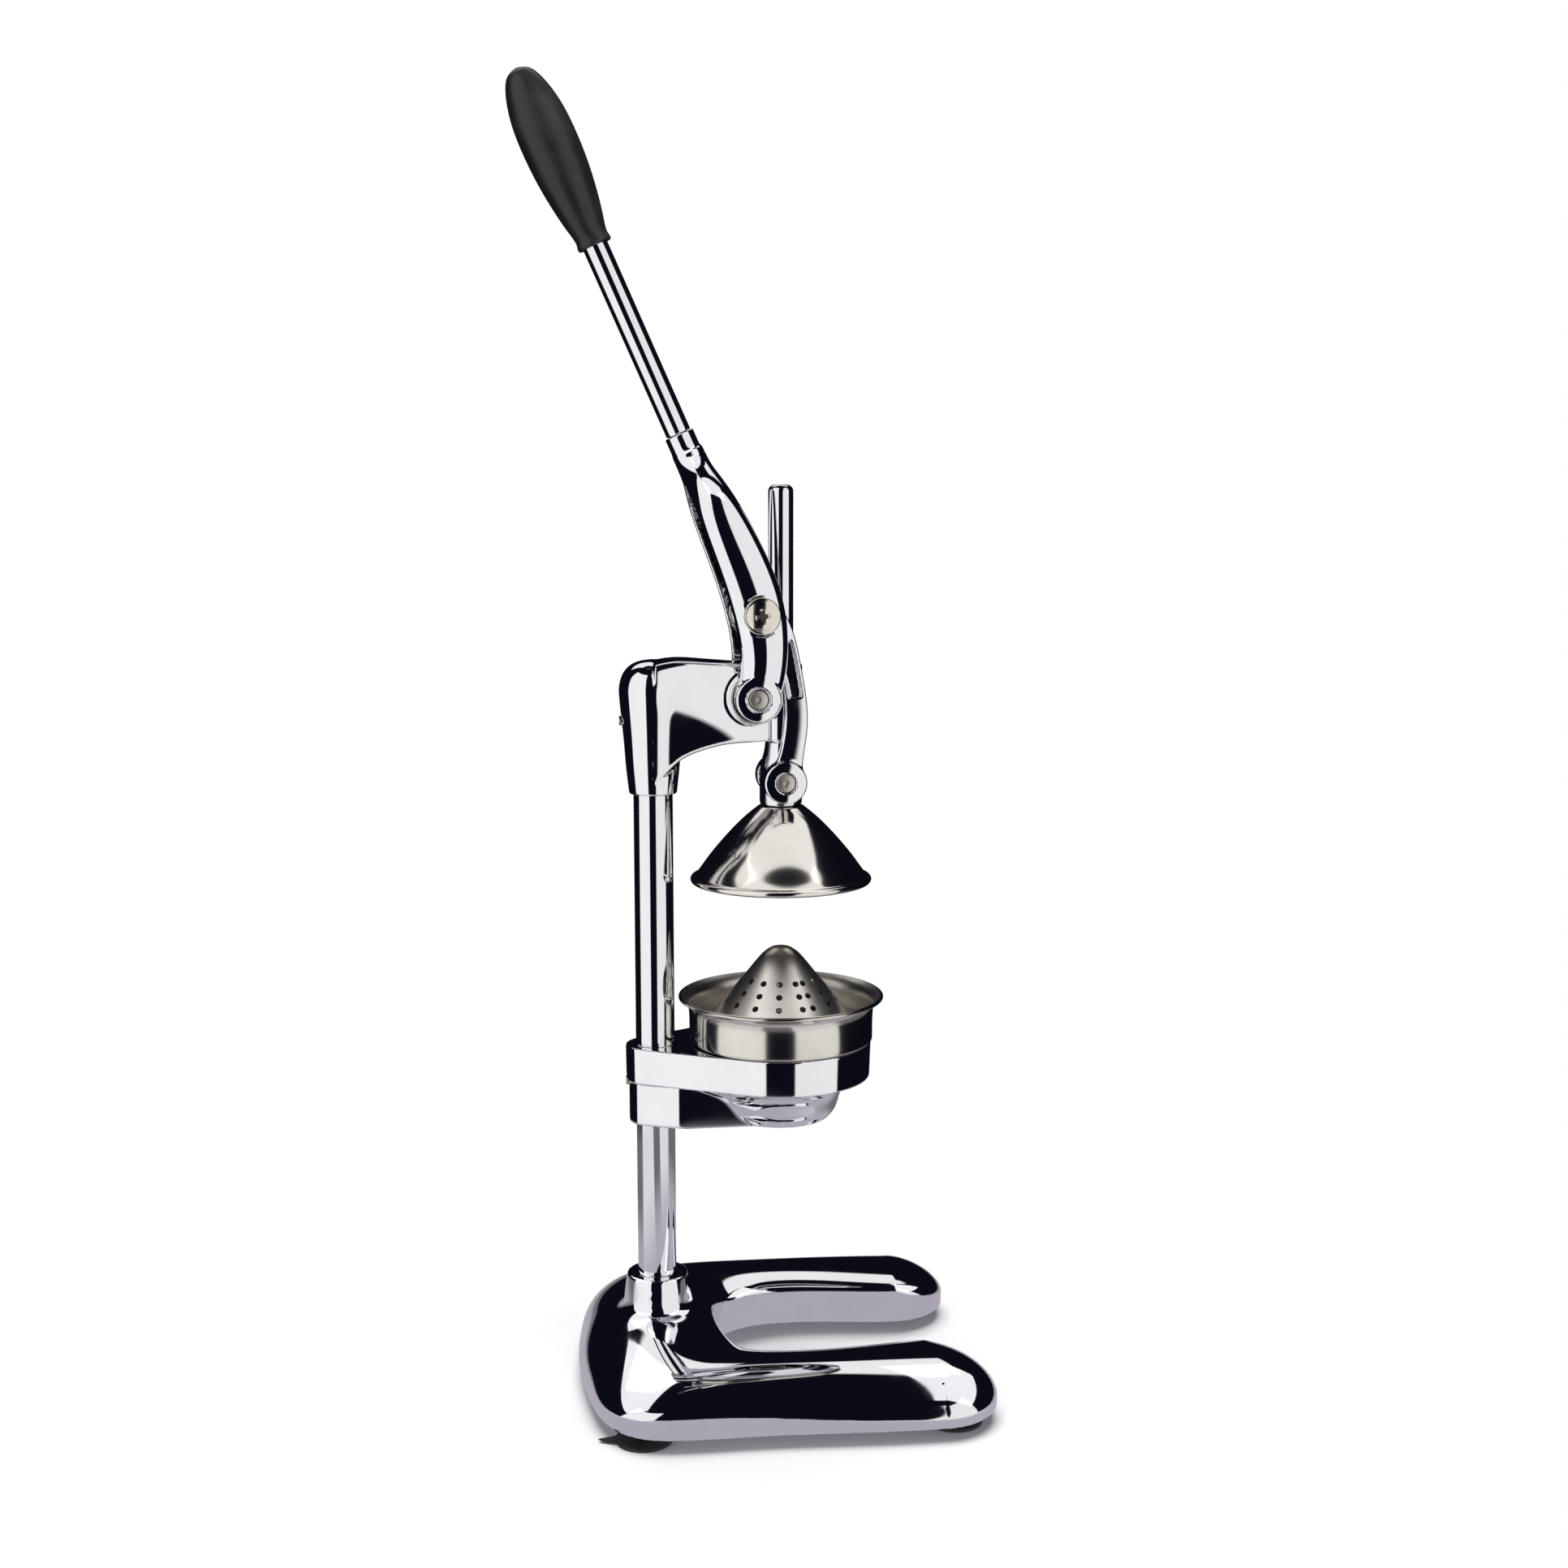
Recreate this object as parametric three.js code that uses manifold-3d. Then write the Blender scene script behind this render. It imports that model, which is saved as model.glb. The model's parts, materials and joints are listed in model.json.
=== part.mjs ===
// Lever citrus juice press: a lever swings over the top and drives a bell down on a strainer cone.
//
// Lengths are millimetres. +X is the front, where the glass goes in and the user stands, +Z is up.
// The press axis, which the rod, bell, cup and strainer share, is the line X = 0, Y = 0 while the
// pieces are built, and the floor is Z = 0. At the end the whole press is moved so that its origin
// lies under the middle of its outline. Left is the -Y side and right is the +Y side.

import * as THREE from 'three';
import { mergeVertices } from 'three/addons/utils/BufferGeometryUtils.js';
import Module from 'manifold-3d';

// Driving dimensions
const floorGap = 8; // the feet hold the base this high
const columnOffset = 72.2; // from the press axis back to the column's axis
const columnRadius = 11;
const pressRodRadius = 7;
const holderTop = 200; // the ring's top face, above the floor
const pivotHeight = 398; // the main pivot, above the floor
const pivotOffset = 15.9; // the main pivot, behind the press axis
const linkTopRise = 45.7; // the link arm's upper pivot, above the main pivot
const linkTopLead = 1.9; // and in front of it
const linkFootFall = 47.2; // the link arm's foot pivot, below the main pivot
const handleLean = 24; // degrees from upright at rest

// Gaps and overruns
const seatGap = 0.3; // between pieces that rest on each other
const slideGap = 0.3; // around a shaft in its bore
const cutOver = 2; // how far a cutting tool runs past a face
const rootSink = 1; // how far one form of a casting starts inside another

// Facets
const roundSteps = 24;
const mediumSteps = 16;
const smallSteps = 12;
const holeSteps = 6;

const wasm = await Module();
wasm.setup();

const columnX = -columnOffset;
const pivotX = -pivotOffset;
const linkTopX = pivotX + linkTopLead;
const linkTopZ = pivotHeight + linkTopRise;
const linkFootZ = pivotHeight - linkFootFall;
const boreOf = (radius) => radius + slideGap;

// Finishes
function finish(color, metalness, roughness) {
  return new THREE.MeshStandardMaterial({ color, metalness, roughness });
}
const chrome = finish(0xd8dade, 1, 0.08);
const polishedSteel = finish(0xcfccc6, 1, 0.16);
const satinSteel = finish(0xbdb8b0, 1, 0.34);
const nickel = finish(0xc6bcae, 1, 0.28);
const blackPlastic = finish(0x26272a, 0, 0.5);
const blackRubber = finish(0x141415, 0, 0.75);

// Solids

function solidOf(geometry) {
  const bare = geometry.index ? geometry.toNonIndexed() : geometry.clone();
  bare.deleteAttribute('normal');
  bare.deleteAttribute('uv');
  const merged = mergeVertices(bare);
  const position = merged.attributes.position;
  const triVerts = [];
  const corner = (index) => new THREE.Vector3().fromBufferAttribute(position, index);
  let volume = 0;
  for (let i = 0; i < merged.index.count; i += 3) {
    const [a, b, c] = [0, 1, 2].map((step) => merged.index.getX(i + step));
    if (a !== b && b !== c && c !== a) {
      triVerts.push(a, b, c);
      volume += corner(a).dot(corner(b).cross(corner(c)));
    }
  }
  if (volume < 0) {
    triVerts.reverse();
  }
  const vertProperties = new Float32Array(position.array);
  return new wasm.Manifold(
    new wasm.Mesh({ numProp: 3, vertProperties, triVerts: new Uint32Array(triVerts) }),
  );
}

function geometryOf(solid) {
  const mesh = solid.getMesh();
  const geometry = new THREE.BufferGeometry();
  geometry.setAttribute('position', new THREE.BufferAttribute(mesh.vertProperties.slice(), 3));
  geometry.setIndex(new THREE.BufferAttribute(mesh.triVerts.slice(), 1));
  geometry.computeVertexNormals();
  return geometry;
}

function join(...solids) {
  return solids.reduce((whole, solid) => whole.add(solid));
}

function cut(body, ...tools) {
  return tools.reduce((rest, tool) => rest.subtract(tool), body);
}

// A revolve about the Z axis, from a list of [radius, height] pairs
function revolve(profile, steps) {
  const points = profile.map(([radius, height]) => new THREE.Vector2(radius, height));
  const geometry = new THREE.LatheGeometry(points, steps);
  geometry.rotateX(Math.PI / 2);
  return solidOf(geometry);
}

// A revolve whose profile closes on itself, such as a ring or a shell
function revolveRing(profile, steps) {
  return revolve([...profile, profile[0]], steps);
}

function rod(radius, low, high, steps) {
  return revolve([[0, low], [radius, low], [radius, high], [0, high]], steps);
}

// A revolve whose axis is laid along +Y through a point of the X-Z plane
function crossRevolve(profile, steps, [x, z]) {
  return revolve(profile, steps).rotate([-90, 0, 0]).translate([x, 0, z]);
}

function crossRod(radius, from, to, steps, place) {
  return crossRevolve([[0, from], [radius, from], [radius, to], [0, to]], steps, place);
}

// A revolve whose axis is laid along -X, at a height
function backRod(radius, from, to, steps, z) {
  return rod(radius, from, to, steps).rotate([0, -90, 0]).translate([0, 0, z]);
}

function mirrorY(solid) {
  return solid.mirror([0, 1, 0]);
}

function bothSides(solid) {
  return solid.add(mirrorY(solid));
}

// A closed profile for sheet metal: the points of one face, and the other face a wall away to
// the left of the way that the points go
function sheetProfile(points, wall) {
  const along = points.slice(1).map(([r, z], i) => {
    const step = new THREE.Vector2(r - points[i][0], z - points[i][1]).normalize();
    return new THREE.Vector2(-step.y, step.x);
  });
  const back = points.map(([r, z], i) => {
    const before = along[Math.max(i - 1, 0)];
    const after = along[Math.min(i, along.length - 1)];
    const normal = before.clone().add(after).normalize();
    const depth = wall / Math.max(normal.dot(after), 0.5);
    return [Math.max(r + normal.x * depth, 0), z + normal.y * depth];
  });
  return [...points, ...back.reverse()];
}

// A body skinned over rings of points, one ring after another, with flat ends
function loft(rings) {
  const corners = [];
  const count = rings[0].length;
  const face = (a, b, c) => corners.push(...a.toArray(), ...b.toArray(), ...c.toArray());
  rings.slice(1).forEach((ring, i) => {
    const last = rings[i];
    for (let j = 0; j < count; j += 1) {
      const k = (j + 1) % count;
      face(last[j], last[k], ring[k]);
      face(last[j], ring[k], ring[j]);
    }
  });
  const cap = (ring, turned) => {
    const middle = ring.reduce((sum, point) => sum.add(point), new THREE.Vector3());
    middle.divideScalar(count);
    ring.forEach((point, j) => {
      const next = ring[(j + 1) % count];
      const ends = turned ? [next, point] : [point, next];
      face(middle, ...ends);
    });
  };
  cap(rings[0], true);
  cap(rings[rings.length - 1], false);
  const geometry = new THREE.BufferGeometry();
  geometry.setAttribute('position', new THREE.Float32BufferAttribute(corners, 3));
  return solidOf(geometry);
}

// A smooth curve through pairs, read at a share of its way
function smooth(pairs) {
  const curve = new THREE.SplineCurve(pairs.map(([a, b]) => new THREE.Vector2(a, b)));
  return (share) => curve.getPoint(share);
}

function steps(count) {
  return Array.from({ length: count + 1 }, (_, i) => i / count);
}

// A flat plate in the X-Z plane, thick along Y, with rounded edges or, for a round of 0, square
function sidePlate(outline, near, far, round) {
  const shape = new THREE.Shape(outline.map(([x, z]) => new THREE.Vector2(x, z)));
  const geometry = new THREE.ExtrudeGeometry(shape, {
    depth: far - near - 2 * round,
    bevelEnabled: round > 0,
    bevelThickness: round,
    bevelSize: round,
    bevelOffset: -round,
    bevelSegments: 1,
    curveSegments: 1,
  });
  geometry.rotateX(Math.PI / 2);
  geometry.translate(0, far - round, 0);
  return solidOf(geometry);
}

const parts = [];
function addPart(name, solid, material) {
  const mesh = new THREE.Mesh(geometryOf(solid), material);
  mesh.name = name;
  parts.push(mesh);
}

// Base: a U-shaped casting. Its outline is one closed line: round the back, along a leg, round
// the tip lobe and back along the gap. Every point of it is paired with a point of the crest.
const baseBack = 118; // the back edge, behind the press axis
const baseFront = 111; // the tips, in front of the press axis
const baseHalfWidth = 107.5;
const gapEnd = 40.5; // the closed end of the gap, behind the press axis
const lobeRadius = 34.5;
const crestBack = 37; // heights above the base's underside
const crestLeg = 30.5;
const crestTip = 28;
const gapWallBack = 29;
const gapWallLeg = 19.5;
const lipHeight = 6;
const lipTuck = 1.6;
const baseWall = 5;
const baseStations = 10;
const lobeStations = 6;
const baseRise = 4;
const outerRoundness = 1.75; // 2 is an ellipse, less is nearer to a straight slope
const innerRoundness = 1.5;
const neckTop = 64.3; // above the floor
const neckTopRadius = 18.3;
const neckWaistRadius = 16.2;
const neckFlareRadius = 24;
const neckEdge = 1;
const columnBossRadius = 17;
const columnBossFoot = 7.5; // above the base's underside
const columnBossFloor = 6.5; // the metal under the column's end
const footBossRadius = 8;

const lobeX = baseFront - lobeRadius;
const lobeY = baseHalfWidth - lobeRadius;
const columnFloor = floorGap + columnBossFoot + columnBossFloor;

// Shares of the way from the back edge to the lobe's centre, and of the base's half width
const outerShares = [
  [0, 0], [0.012, 0.33], [0.045, 0.65], [0.135, 0.89], [0.3, 0.952], [0.5, 0.957], [0.74, 0.985], [1, 1],
];
// Shares of the way from the gap's closed end to the lobe's centre, and of the base's half width
const innerShares = [
  [0, 0], [0.01, 0.115], [0.05, 0.235], [0.12, 0.335], [0.24, 0.405], [0.41, 0.428], [0.65, 0.407],
];
// Shares of the neck's height above the base's crest, and of its way from waist to top radius
const neckShares = [[0.1, 0], [0.3, 0.15], [0.55, 0.75], [0.8, 1]];

function mirroredCurve(half) {
  const behind = half.slice(1).reverse().map(([x, y]) => [x, -y]);
  const curve = smooth([...behind, ...half]);
  return (share) => curve((1 + share) / 2);
}

function baseEdges() {
  const outer = outerShares.map(([along, across]) => [
    -baseBack + along * (lobeX + baseBack), across * baseHalfWidth,
  ]);
  const inner = innerShares.map(([along, across]) => [
    -gapEnd + along * (lobeX + gapEnd), across * baseHalfWidth,
  ]);
  inner.push([lobeX, lobeY - lobeRadius]);
  return { outer: mirroredCurve(outer), inner: mirroredCurve(inner) };
}

// Sections of one half: the edge point, the crest point, and the heights between them
function baseSections() {
  const edges = baseEdges();
  const sections = [];
  const mix = THREE.MathUtils.lerp;
  const legShare = (share) => THREE.MathUtils.smoothstep(share, 0, 0.5);
  const crestTop = (share) => mix(crestBack, crestLeg, legShare(share)) + (crestTip - crestLeg) * share ** 4;
  const gapWall = (share) => mix(gapWallBack, gapWallLeg, legShare(share));
  const addSection = (share, edge, wall, round) => {
    const crest = edges.outer(share).clone().add(edges.inner(share)).multiplyScalar(0.5);
    sections.push({ edge, crest, top: crestTop(share), wall, round });
  };
  steps(baseStations).forEach((share) => {
    addSection(share, edges.outer(share), lipHeight, outerRoundness);
  });
  steps(lobeStations).slice(1, -1).forEach((share) => {
    const angle = Math.PI * (0.5 - share);
    const edge = new THREE.Vector2(Math.cos(angle), Math.sin(angle)).multiplyScalar(lobeRadius);
    edge.add(new THREE.Vector2(lobeX, lobeY));
    const blend = share ** 3;
    addSection(1, edge, mix(lipHeight, gapWallLeg, blend), mix(outerRoundness, innerRoundness, blend));
  });
  steps(baseStations).reverse().forEach((share) => {
    addSection(share, edges.inner(share), gapWall(share), innerRoundness);
  });
  return sections;
}

// The dome between the edges and the crest. The hollow under it is the same, a wall smaller.
function baseDome(wall, floor) {
  const columns = baseSections().map(({ edge, crest, top, wall: lip, round }) => {
    const reach = crest.distanceTo(edge);
    const inward = crest.clone().sub(edge).divideScalar(reach);
    const at = (depth, z) => {
      const point = edge.clone().addScaledVector(inward, Math.min(depth, reach));
      return new THREE.Vector3(point.x, point.y, z);
    };
    const tuckTop = floor + lipTuck;
    const lipTop = Math.max(floorGap + lip - wall, tuckTop + lipTuck);
    const domeTop = floorGap + top - wall;
    const rise = steps(baseRise).slice(1).map((step) => {
      const share = 1 - Math.cos(step * (Math.PI / 2));
      const lift = (1 - (1 - share) ** round) ** (1 / round);
      return at(wall + share * (reach - wall), lipTop + lift * (domeTop - lipTop));
    });
    return [at(reach, floor), at(wall + lipTuck, floor), at(wall, tuckTop), at(wall, lipTop), ...rise];
  });
  const corners = [];
  const face = (a, b, c) => corners.push(a, b, c);
  columns.slice(1).forEach((column, i) => {
    const last = columns[i];
    for (let j = 1; j < column.length; j += 1) {
      face(last[j - 1], last[j], column[j]);
      face(last[j - 1], column[j], column[j - 1]);
    }
  });
  const flip = (point) => new THREE.Vector3(point.x, -point.y, point.z);
  const otherHalf = corners.map((_, i) => flip(corners[i - 2 * (i % 3) + 2]));
  return solidOf(new THREE.BufferGeometry().setFromPoints([...corners, ...otherHalf]));
}

function makeNeck() {
  const foot = floorGap + crestBack;
  const height = neckTop - foot;
  const barrel = neckShares.map(([up, out]) => [
    neckWaistRadius + out * (neckTopRadius - neckWaistRadius), foot + up * height,
  ]);
  return revolve([
    [0, floorGap + lipHeight],
    [neckFlareRadius, floorGap + lipHeight],
    [neckFlareRadius, foot - height / 3],
    [(neckFlareRadius + neckWaistRadius) / 2, foot - height / 6],
    ...barrel,
    [neckTopRadius, neckTop - neckEdge],
    [neckTopRadius - neckEdge, neckTop],
    [0, neckTop],
  ], mediumSteps);
}

function makeBase() {
  const dome = baseDome(0, floorGap);
  const hollow = baseDome(baseWall, floorGap - cutOver);
  const columnBoss = rod(columnBossRadius, floorGap + columnBossFoot, neckTop, mediumSteps);
  const footBosses = footPlaces().map(([x, y]) => (
    rod(footBossRadius, floorGap, neckTop, smallSteps).translate([x, y, 0])
  ));
  const ribs = join(columnBoss.translate([columnX, 0, 0]), ...footBosses).intersect(dome);
  const neckSkin = makeNeck().translate([columnX, 0, 0]);
  const neck = neckSkin.subtract(hollow);
  const columnBore = rod(boreOf(columnRadius), columnFloor, neckTop + cutOver, roundSteps);
  const boltBore = rod(boreOf(columnBoltRadius), floorGap, columnFloor + cutOver, smallSteps);
  const studBores = footPlaces().map(([x, y]) => (
    rod(boreOf(footStudRadius), floorGap - cutOver, footStudTop + seatGap, smallSteps).translate([x, y, 0])
  ));
  return cut(
    join(cut(dome, hollow), neck, ribs),
    columnBore.translate([columnX, 0, 0]),
    boltBore.translate([columnX, 0, 0]),
    ...studBores,
  );
}

// Suction feet, one under each corner of the base
const footInsetFront = 25; // from the base's front edge, back edge and side to a foot's axis
const footInsetBack = 32;
const footInsetSide = 27.5;
const footRadius = 16;
const footLip = 2.4; // the ring that touches the floor
const footHollow = 1.8;
const footSkirt = 1.8;
const footNeckRadius = 7.4;
const footStudRadius = 3;
const footStudLength = 17;
const footStudSink = 4.6; // how far the stud goes into the rubber
const tabReach = 9; // how far the pull tab stands out from the skirt
const tabHalfWidth = 4.5;
const tabThickness = 1.4;
const tabSteps = 3;

const footStudTop = floorGap - seatGap - footStudSink + footStudLength;

function footPlaces() {
  const front = baseFront - footInsetFront;
  const back = -(baseBack - footInsetBack);
  const side = baseHalfWidth - footInsetSide;
  return [[front, -side], [front, side], [back, -side], [back, side]];
}

function makeFoot() {
  const top = floorGap - seatGap;
  const cup = revolve([
    [0, footHollow],
    [footRadius - 2 * footLip, footHollow],
    [footRadius - footLip, 0],
    [footRadius, 0],
    [footRadius, footSkirt],
    [footNeckRadius, top - footSkirt],
    [footNeckRadius, top],
    [0, top],
  ], smallSteps);
  const tip = -(footRadius + tabReach);
  const tab = new THREE.Shape();
  tab.moveTo(-footRadius + footLip, tabHalfWidth);
  tab.lineTo(tip + tabHalfWidth, tabHalfWidth);
  tab.quadraticCurveTo(tip, tabHalfWidth, tip, 0);
  tab.quadraticCurveTo(tip, -tabHalfWidth, tip + tabHalfWidth, -tabHalfWidth);
  tab.lineTo(-footRadius + footLip, -tabHalfWidth);
  const plate = new THREE.ExtrudeGeometry(tab, {
    depth: tabThickness,
    bevelEnabled: false,
    curveSegments: tabSteps,
  });
  const studBore = rod(boreOf(footStudRadius), top - footStudSink - seatGap, top + cutOver, smallSteps);
  return cut(join(cup, solidOf(plate).translate([0, 0, seatGap])), studBore);
}

function makeFootStud() {
  return rod(footStudRadius, footStudTop - footStudLength, footStudTop, smallSteps);
}

// Column and the bolt that holds it from below
const columnBoltRadius = 4;
const columnBoltLength = 30;
const columnBoltHeadAcross = 13; // across the flats
const columnBoltHeadHeight = 4.6;
const columnWasherRadius = 9;
const columnWasherThickness = 1.4;
const columnChamfer = 0.8;
const columnRise = 6.4; // the column's top, above the main pivot

const columnFoot = columnFloor + seatGap;
const columnTop = pivotHeight + columnRise;
const washerTop = floorGap + columnBossFoot - seatGap;
const boltHeadTop = washerTop - columnWasherThickness - seatGap;

function makeColumn() {
  const bar = revolve([
    [0, columnFoot],
    [columnRadius - columnChamfer, columnFoot],
    [columnRadius, columnFoot + columnChamfer],
    [columnRadius, columnTop - columnChamfer],
    [columnRadius - columnChamfer, columnTop],
    [0, columnTop],
  ], roundSteps);
  const threadTop = boltHeadTop + columnBoltLength + cutOver;
  const thread = rod(boreOf(columnBoltRadius), columnFoot - cutOver, threadTop, smallSteps);
  return cut(bar, thread).translate([columnX, 0, 0]);
}

function hexRod(across, low, high) {
  return rod(across / Math.sqrt(3), low, high, 6);
}

function makeColumnBolt() {
  const head = hexRod(columnBoltHeadAcross, boltHeadTop - columnBoltHeadHeight, boltHeadTop);
  const shank = rod(columnBoltRadius, boltHeadTop - rootSink, boltHeadTop + columnBoltLength, smallSteps);
  return join(head, shank).translate([columnX, 0, 0]);
}

function makeWasher(radius, boreRadius, low, high) {
  return revolveRing([[boreRadius, low], [radius, low], [radius, high], [boreRadius, high]], smallSteps);
}

function makeColumnWasher() {
  const low = washerTop - columnWasherThickness;
  return makeWasher(columnWasherRadius, boreOf(columnBoltRadius), low, washerTop)
    .translate([columnX, 0, 0]);
}

// Head: a sleeve on the column's top, an arm with the pivot's boss, and the guide for the rod
const headRise = 21; // the sleeve's domed top, above the main pivot
const headFall = 54.2; // the sleeve's foot, below the main pivot
const headSleeveRadius = 18.5;
const headArmHalfWidth = 13.5;
const headArmRound = 3.5;
const guideRise = 17.5; // the guide's top, above the main pivot
const guideFall = 24.7; // the guide's foot, below the main pivot
const guideRadius = 12;
const guideEdge = 0.8;
const pivotBossRadius = 14.9;
const pivotBossReach = 18.2; // from the middle plane
const pivotBossFlare = 2.6;
const pivotBossEdge = 0.9;
const pivotPinRadius = 5.3;
const setScrewRadius = 2.8;
const setScrewSocketAcross = 2.6; // across the flats
const setScrewSocketDepth = 2;
const headScrewFall = 13; // below the main pivot

const guideTop = pivotHeight + guideRise;
const guideFoot = pivotHeight - guideFall;
const pivotPlace = [pivotX, pivotHeight];

// Shares of the sleeve's radius and of its height
const headSleeveShares = [
  [0.714, 0], [0.757, 0.013], [0.876, 0.415], [1, 0.747], [0.97, 0.83], [0.87, 0.9], [0.66, 0.957],
  [0.36, 0.99],
];
// Shares of the way from the column's axis to the press axis, and of the guide's height
const headArmEndShare = 0.89;
const headArmShares = [
  [0, -0.5], [0.1, -0.38], [0.197, -0.235], [0.335, -0.121], [0.46, -0.059], [0.585, -0.021],
  [headArmEndShare, 0], [headArmEndShare, 1], [0.64, 1.035], [0.42, 1.064], [0.2, 1.088], [0, 1.035],
];

function makeHead() {
  const foot = pivotHeight - headFall;
  const top = pivotHeight + headRise;
  const sleeve = revolve([
    [0, foot],
    ...headSleeveShares.map(([out, up]) => [out * headSleeveRadius, foot + up * (top - foot)]),
    [0, top],
  ], mediumSteps).translate([columnX, 0, 0]);
  const armOutline = headArmShares.map(([along, up]) => [
    columnX + along * columnOffset, guideFoot + up * (guideTop - guideFoot),
  ]);
  const arm = sidePlate(armOutline, -headArmHalfWidth, headArmHalfWidth, headArmRound);
  const guide = revolve([
    [0, guideFoot],
    [guideRadius - guideEdge, guideFoot],
    [guideRadius, guideFoot + guideEdge],
    [guideRadius, guideTop - guideEdge],
    [guideRadius - guideEdge, guideTop],
    [0, guideTop],
  ], mediumSteps);
  const bossHalf = crossRevolve([
    [0, 0],
    [pivotBossRadius, 0],
    [pivotBossRadius, pivotBossReach - pivotBossEdge],
    [pivotBossRadius - pivotBossEdge, pivotBossReach],
    [0, pivotBossReach],
  ], mediumSteps, pivotPlace);
  const flareHalf = crossRevolve([
    [0, 0],
    [pivotBossRadius + pivotBossFlare, 0],
    [pivotBossRadius + pivotBossFlare, headArmHalfWidth],
    [pivotBossRadius, headArmHalfWidth + pivotBossFlare],
    [0, headArmHalfWidth + pivotBossFlare],
  ], mediumSteps, pivotPlace);
  const pinBoreEnd = pivotBossReach + cutOver;
  return cut(
    join(sleeve, arm, guide, bothSides(bossHalf), cut(bothSides(flareHalf), linkRoom())),
    rod(boreOf(columnRadius), foot - cutOver, columnTop + seatGap, roundSteps).translate([columnX, 0, 0]),
    rod(boreOf(pressRodRadius), guideFoot - cutOver, guideTop + cutOver, mediumSteps),
    crossRod(boreOf(pivotPinRadius), -pinBoreEnd, pinBoreEnd, smallSteps, pivotPlace),
    setScrewBore(pivotHeight - headScrewFall, headSleeveRadius),
  );
}

// The room in front of the arm's end, in which the link arms swing
function linkRoom() {
  const back = columnX + headArmEndShare * columnOffset;
  const front = back + 2 * pivotBossRadius;
  const foot = guideFoot - cutOver;
  const top = guideTop + cutOver;
  const outline = [[back, foot], [front, foot], [front, top], [back, top]];
  return sidePlate(outline, -pivotBossReach, pivotBossReach, 0);
}

function setScrewBore(z, reach) {
  return backRod(boreOf(setScrewRadius), columnRadius, reach + cutOver, smallSteps, z)
    .translate([columnX, 0, 0]);
}

function makeSetScrew(z, reach) {
  const screw = backRod(setScrewRadius, columnRadius + seatGap, reach, smallSteps, z);
  const socket = hexRod(setScrewSocketAcross, reach - setScrewSocketDepth, reach + cutOver)
    .rotate([0, -90, 0])
    .translate([0, 0, z]);
  return cut(screw, socket).translate([columnX, 0, 0]);
}

// Main pivot: the pin, and a thrust washer between the head's boss and each arm of the fork
const forkInner = 19.6; // the arms' flat inner faces, from the middle plane
const forkOuter = 28.6; // the crown of the arms' outer faces, from the middle plane
const pivotPinInset = 0.6; // the pin's end, below the crown
const pivotPinRecess = 1.8;
const pivotPinRecessDepth = 1.6;
const pivotWasherRadius = 14;

function makePivotPin() {
  const end = forkOuter - pivotPinInset;
  const bar = crossRod(pivotPinRadius, -end, end, smallSteps, pivotPlace);
  const recess = crossRod(pivotPinRecess, end - pivotPinRecessDepth, end + cutOver, holeSteps, pivotPlace);
  return cut(bar, bothSides(recess));
}

function makePivotWasher() {
  const low = pivotBossReach + seatGap;
  return makeWasher(pivotWasherRadius, boreOf(pivotPinRadius), low, forkInner - seatGap)
    .rotate([-90, 0, 0])
    .translate([pivotX, 0, pivotHeight]);
}

// Cup holder: one casting with a sleeve on the column, a ring, and a bowl open at its foot
const holderHeight = 45;
const holderRadius = 51.5;
const holderWall = 5.3;
const holderSleeveRadius = 16.8;
const holderRingSteps = 22; // round the ring's arc
const holderSleeveSteps = 8; // round the sleeve's arc
const holderScrewFall = 21; // below the ring's top face

const holderBore = holderRadius - holderWall;
const holderFoot = holderTop - holderHeight;

// Shares of the ring's radius, of the sleeve's radius and of the height
const holderShares = [
  [0.524, 0.845, 0], [0.563, 0.893, 0.033], [0.602, 0.893, 0.111], [0.672, 0.893, 0.333],
  [0.728, 0.893, 0.422], [0.835, 0.893, 0.511], [0.951, 0.952, 0.544], [0.967, 0.976, 0.578],
  [1, 1, 0.967], [0.988, 0.964, 1],
];
// Shares of the bore's radius and of the height
const holderInsideShares = [[1, 0.656], [0.812, 0.511], [0.65, 0.356], [0.585, 0.178], [0.52, 0.089]];

// The line round two circles and the two lines that touch them both
function circlesOutline(ringRadius, sleeveRadius, z) {
  const turn = Math.PI - Math.acos((ringRadius - sleeveRadius) / columnOffset);
  const arc = (radius, x, from, to, count) => steps(count).map((share) => {
    const angle = THREE.MathUtils.lerp(from, to, share);
    return new THREE.Vector3(x + radius * Math.cos(angle), radius * Math.sin(angle), z);
  });
  return [
    ...arc(ringRadius, 0, -turn, turn, holderRingSteps),
    ...arc(sleeveRadius, columnX, turn, 2 * Math.PI - turn, holderSleeveSteps),
  ];
}

function makeHolder() {
  const body = loft(holderShares.map(([ring, sleeve, up]) => (
    circlesOutline(ring * holderRadius, sleeve * holderSleeveRadius, holderFoot + up * holderHeight)
  )));
  const inside = holderInsideShares.map(([out, up]) => [out * holderBore, holderFoot + up * holderHeight]);
  const outletRadius = inside[inside.length - 1][0];
  const hollow = revolve([
    [0, holderTop + cutOver],
    [holderBore, holderTop + cutOver],
    ...inside,
    [outletRadius, holderFoot - cutOver],
    [0, holderFoot - cutOver],
  ], roundSteps);
  const columnBore = rod(boreOf(columnRadius), holderFoot - cutOver, holderTop + cutOver, roundSteps);
  return cut(
    body,
    hollow,
    columnBore.translate([columnX, 0, 0]),
    setScrewBore(holderTop - holderScrewFall, holderSleeveRadius),
  );
}

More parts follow.
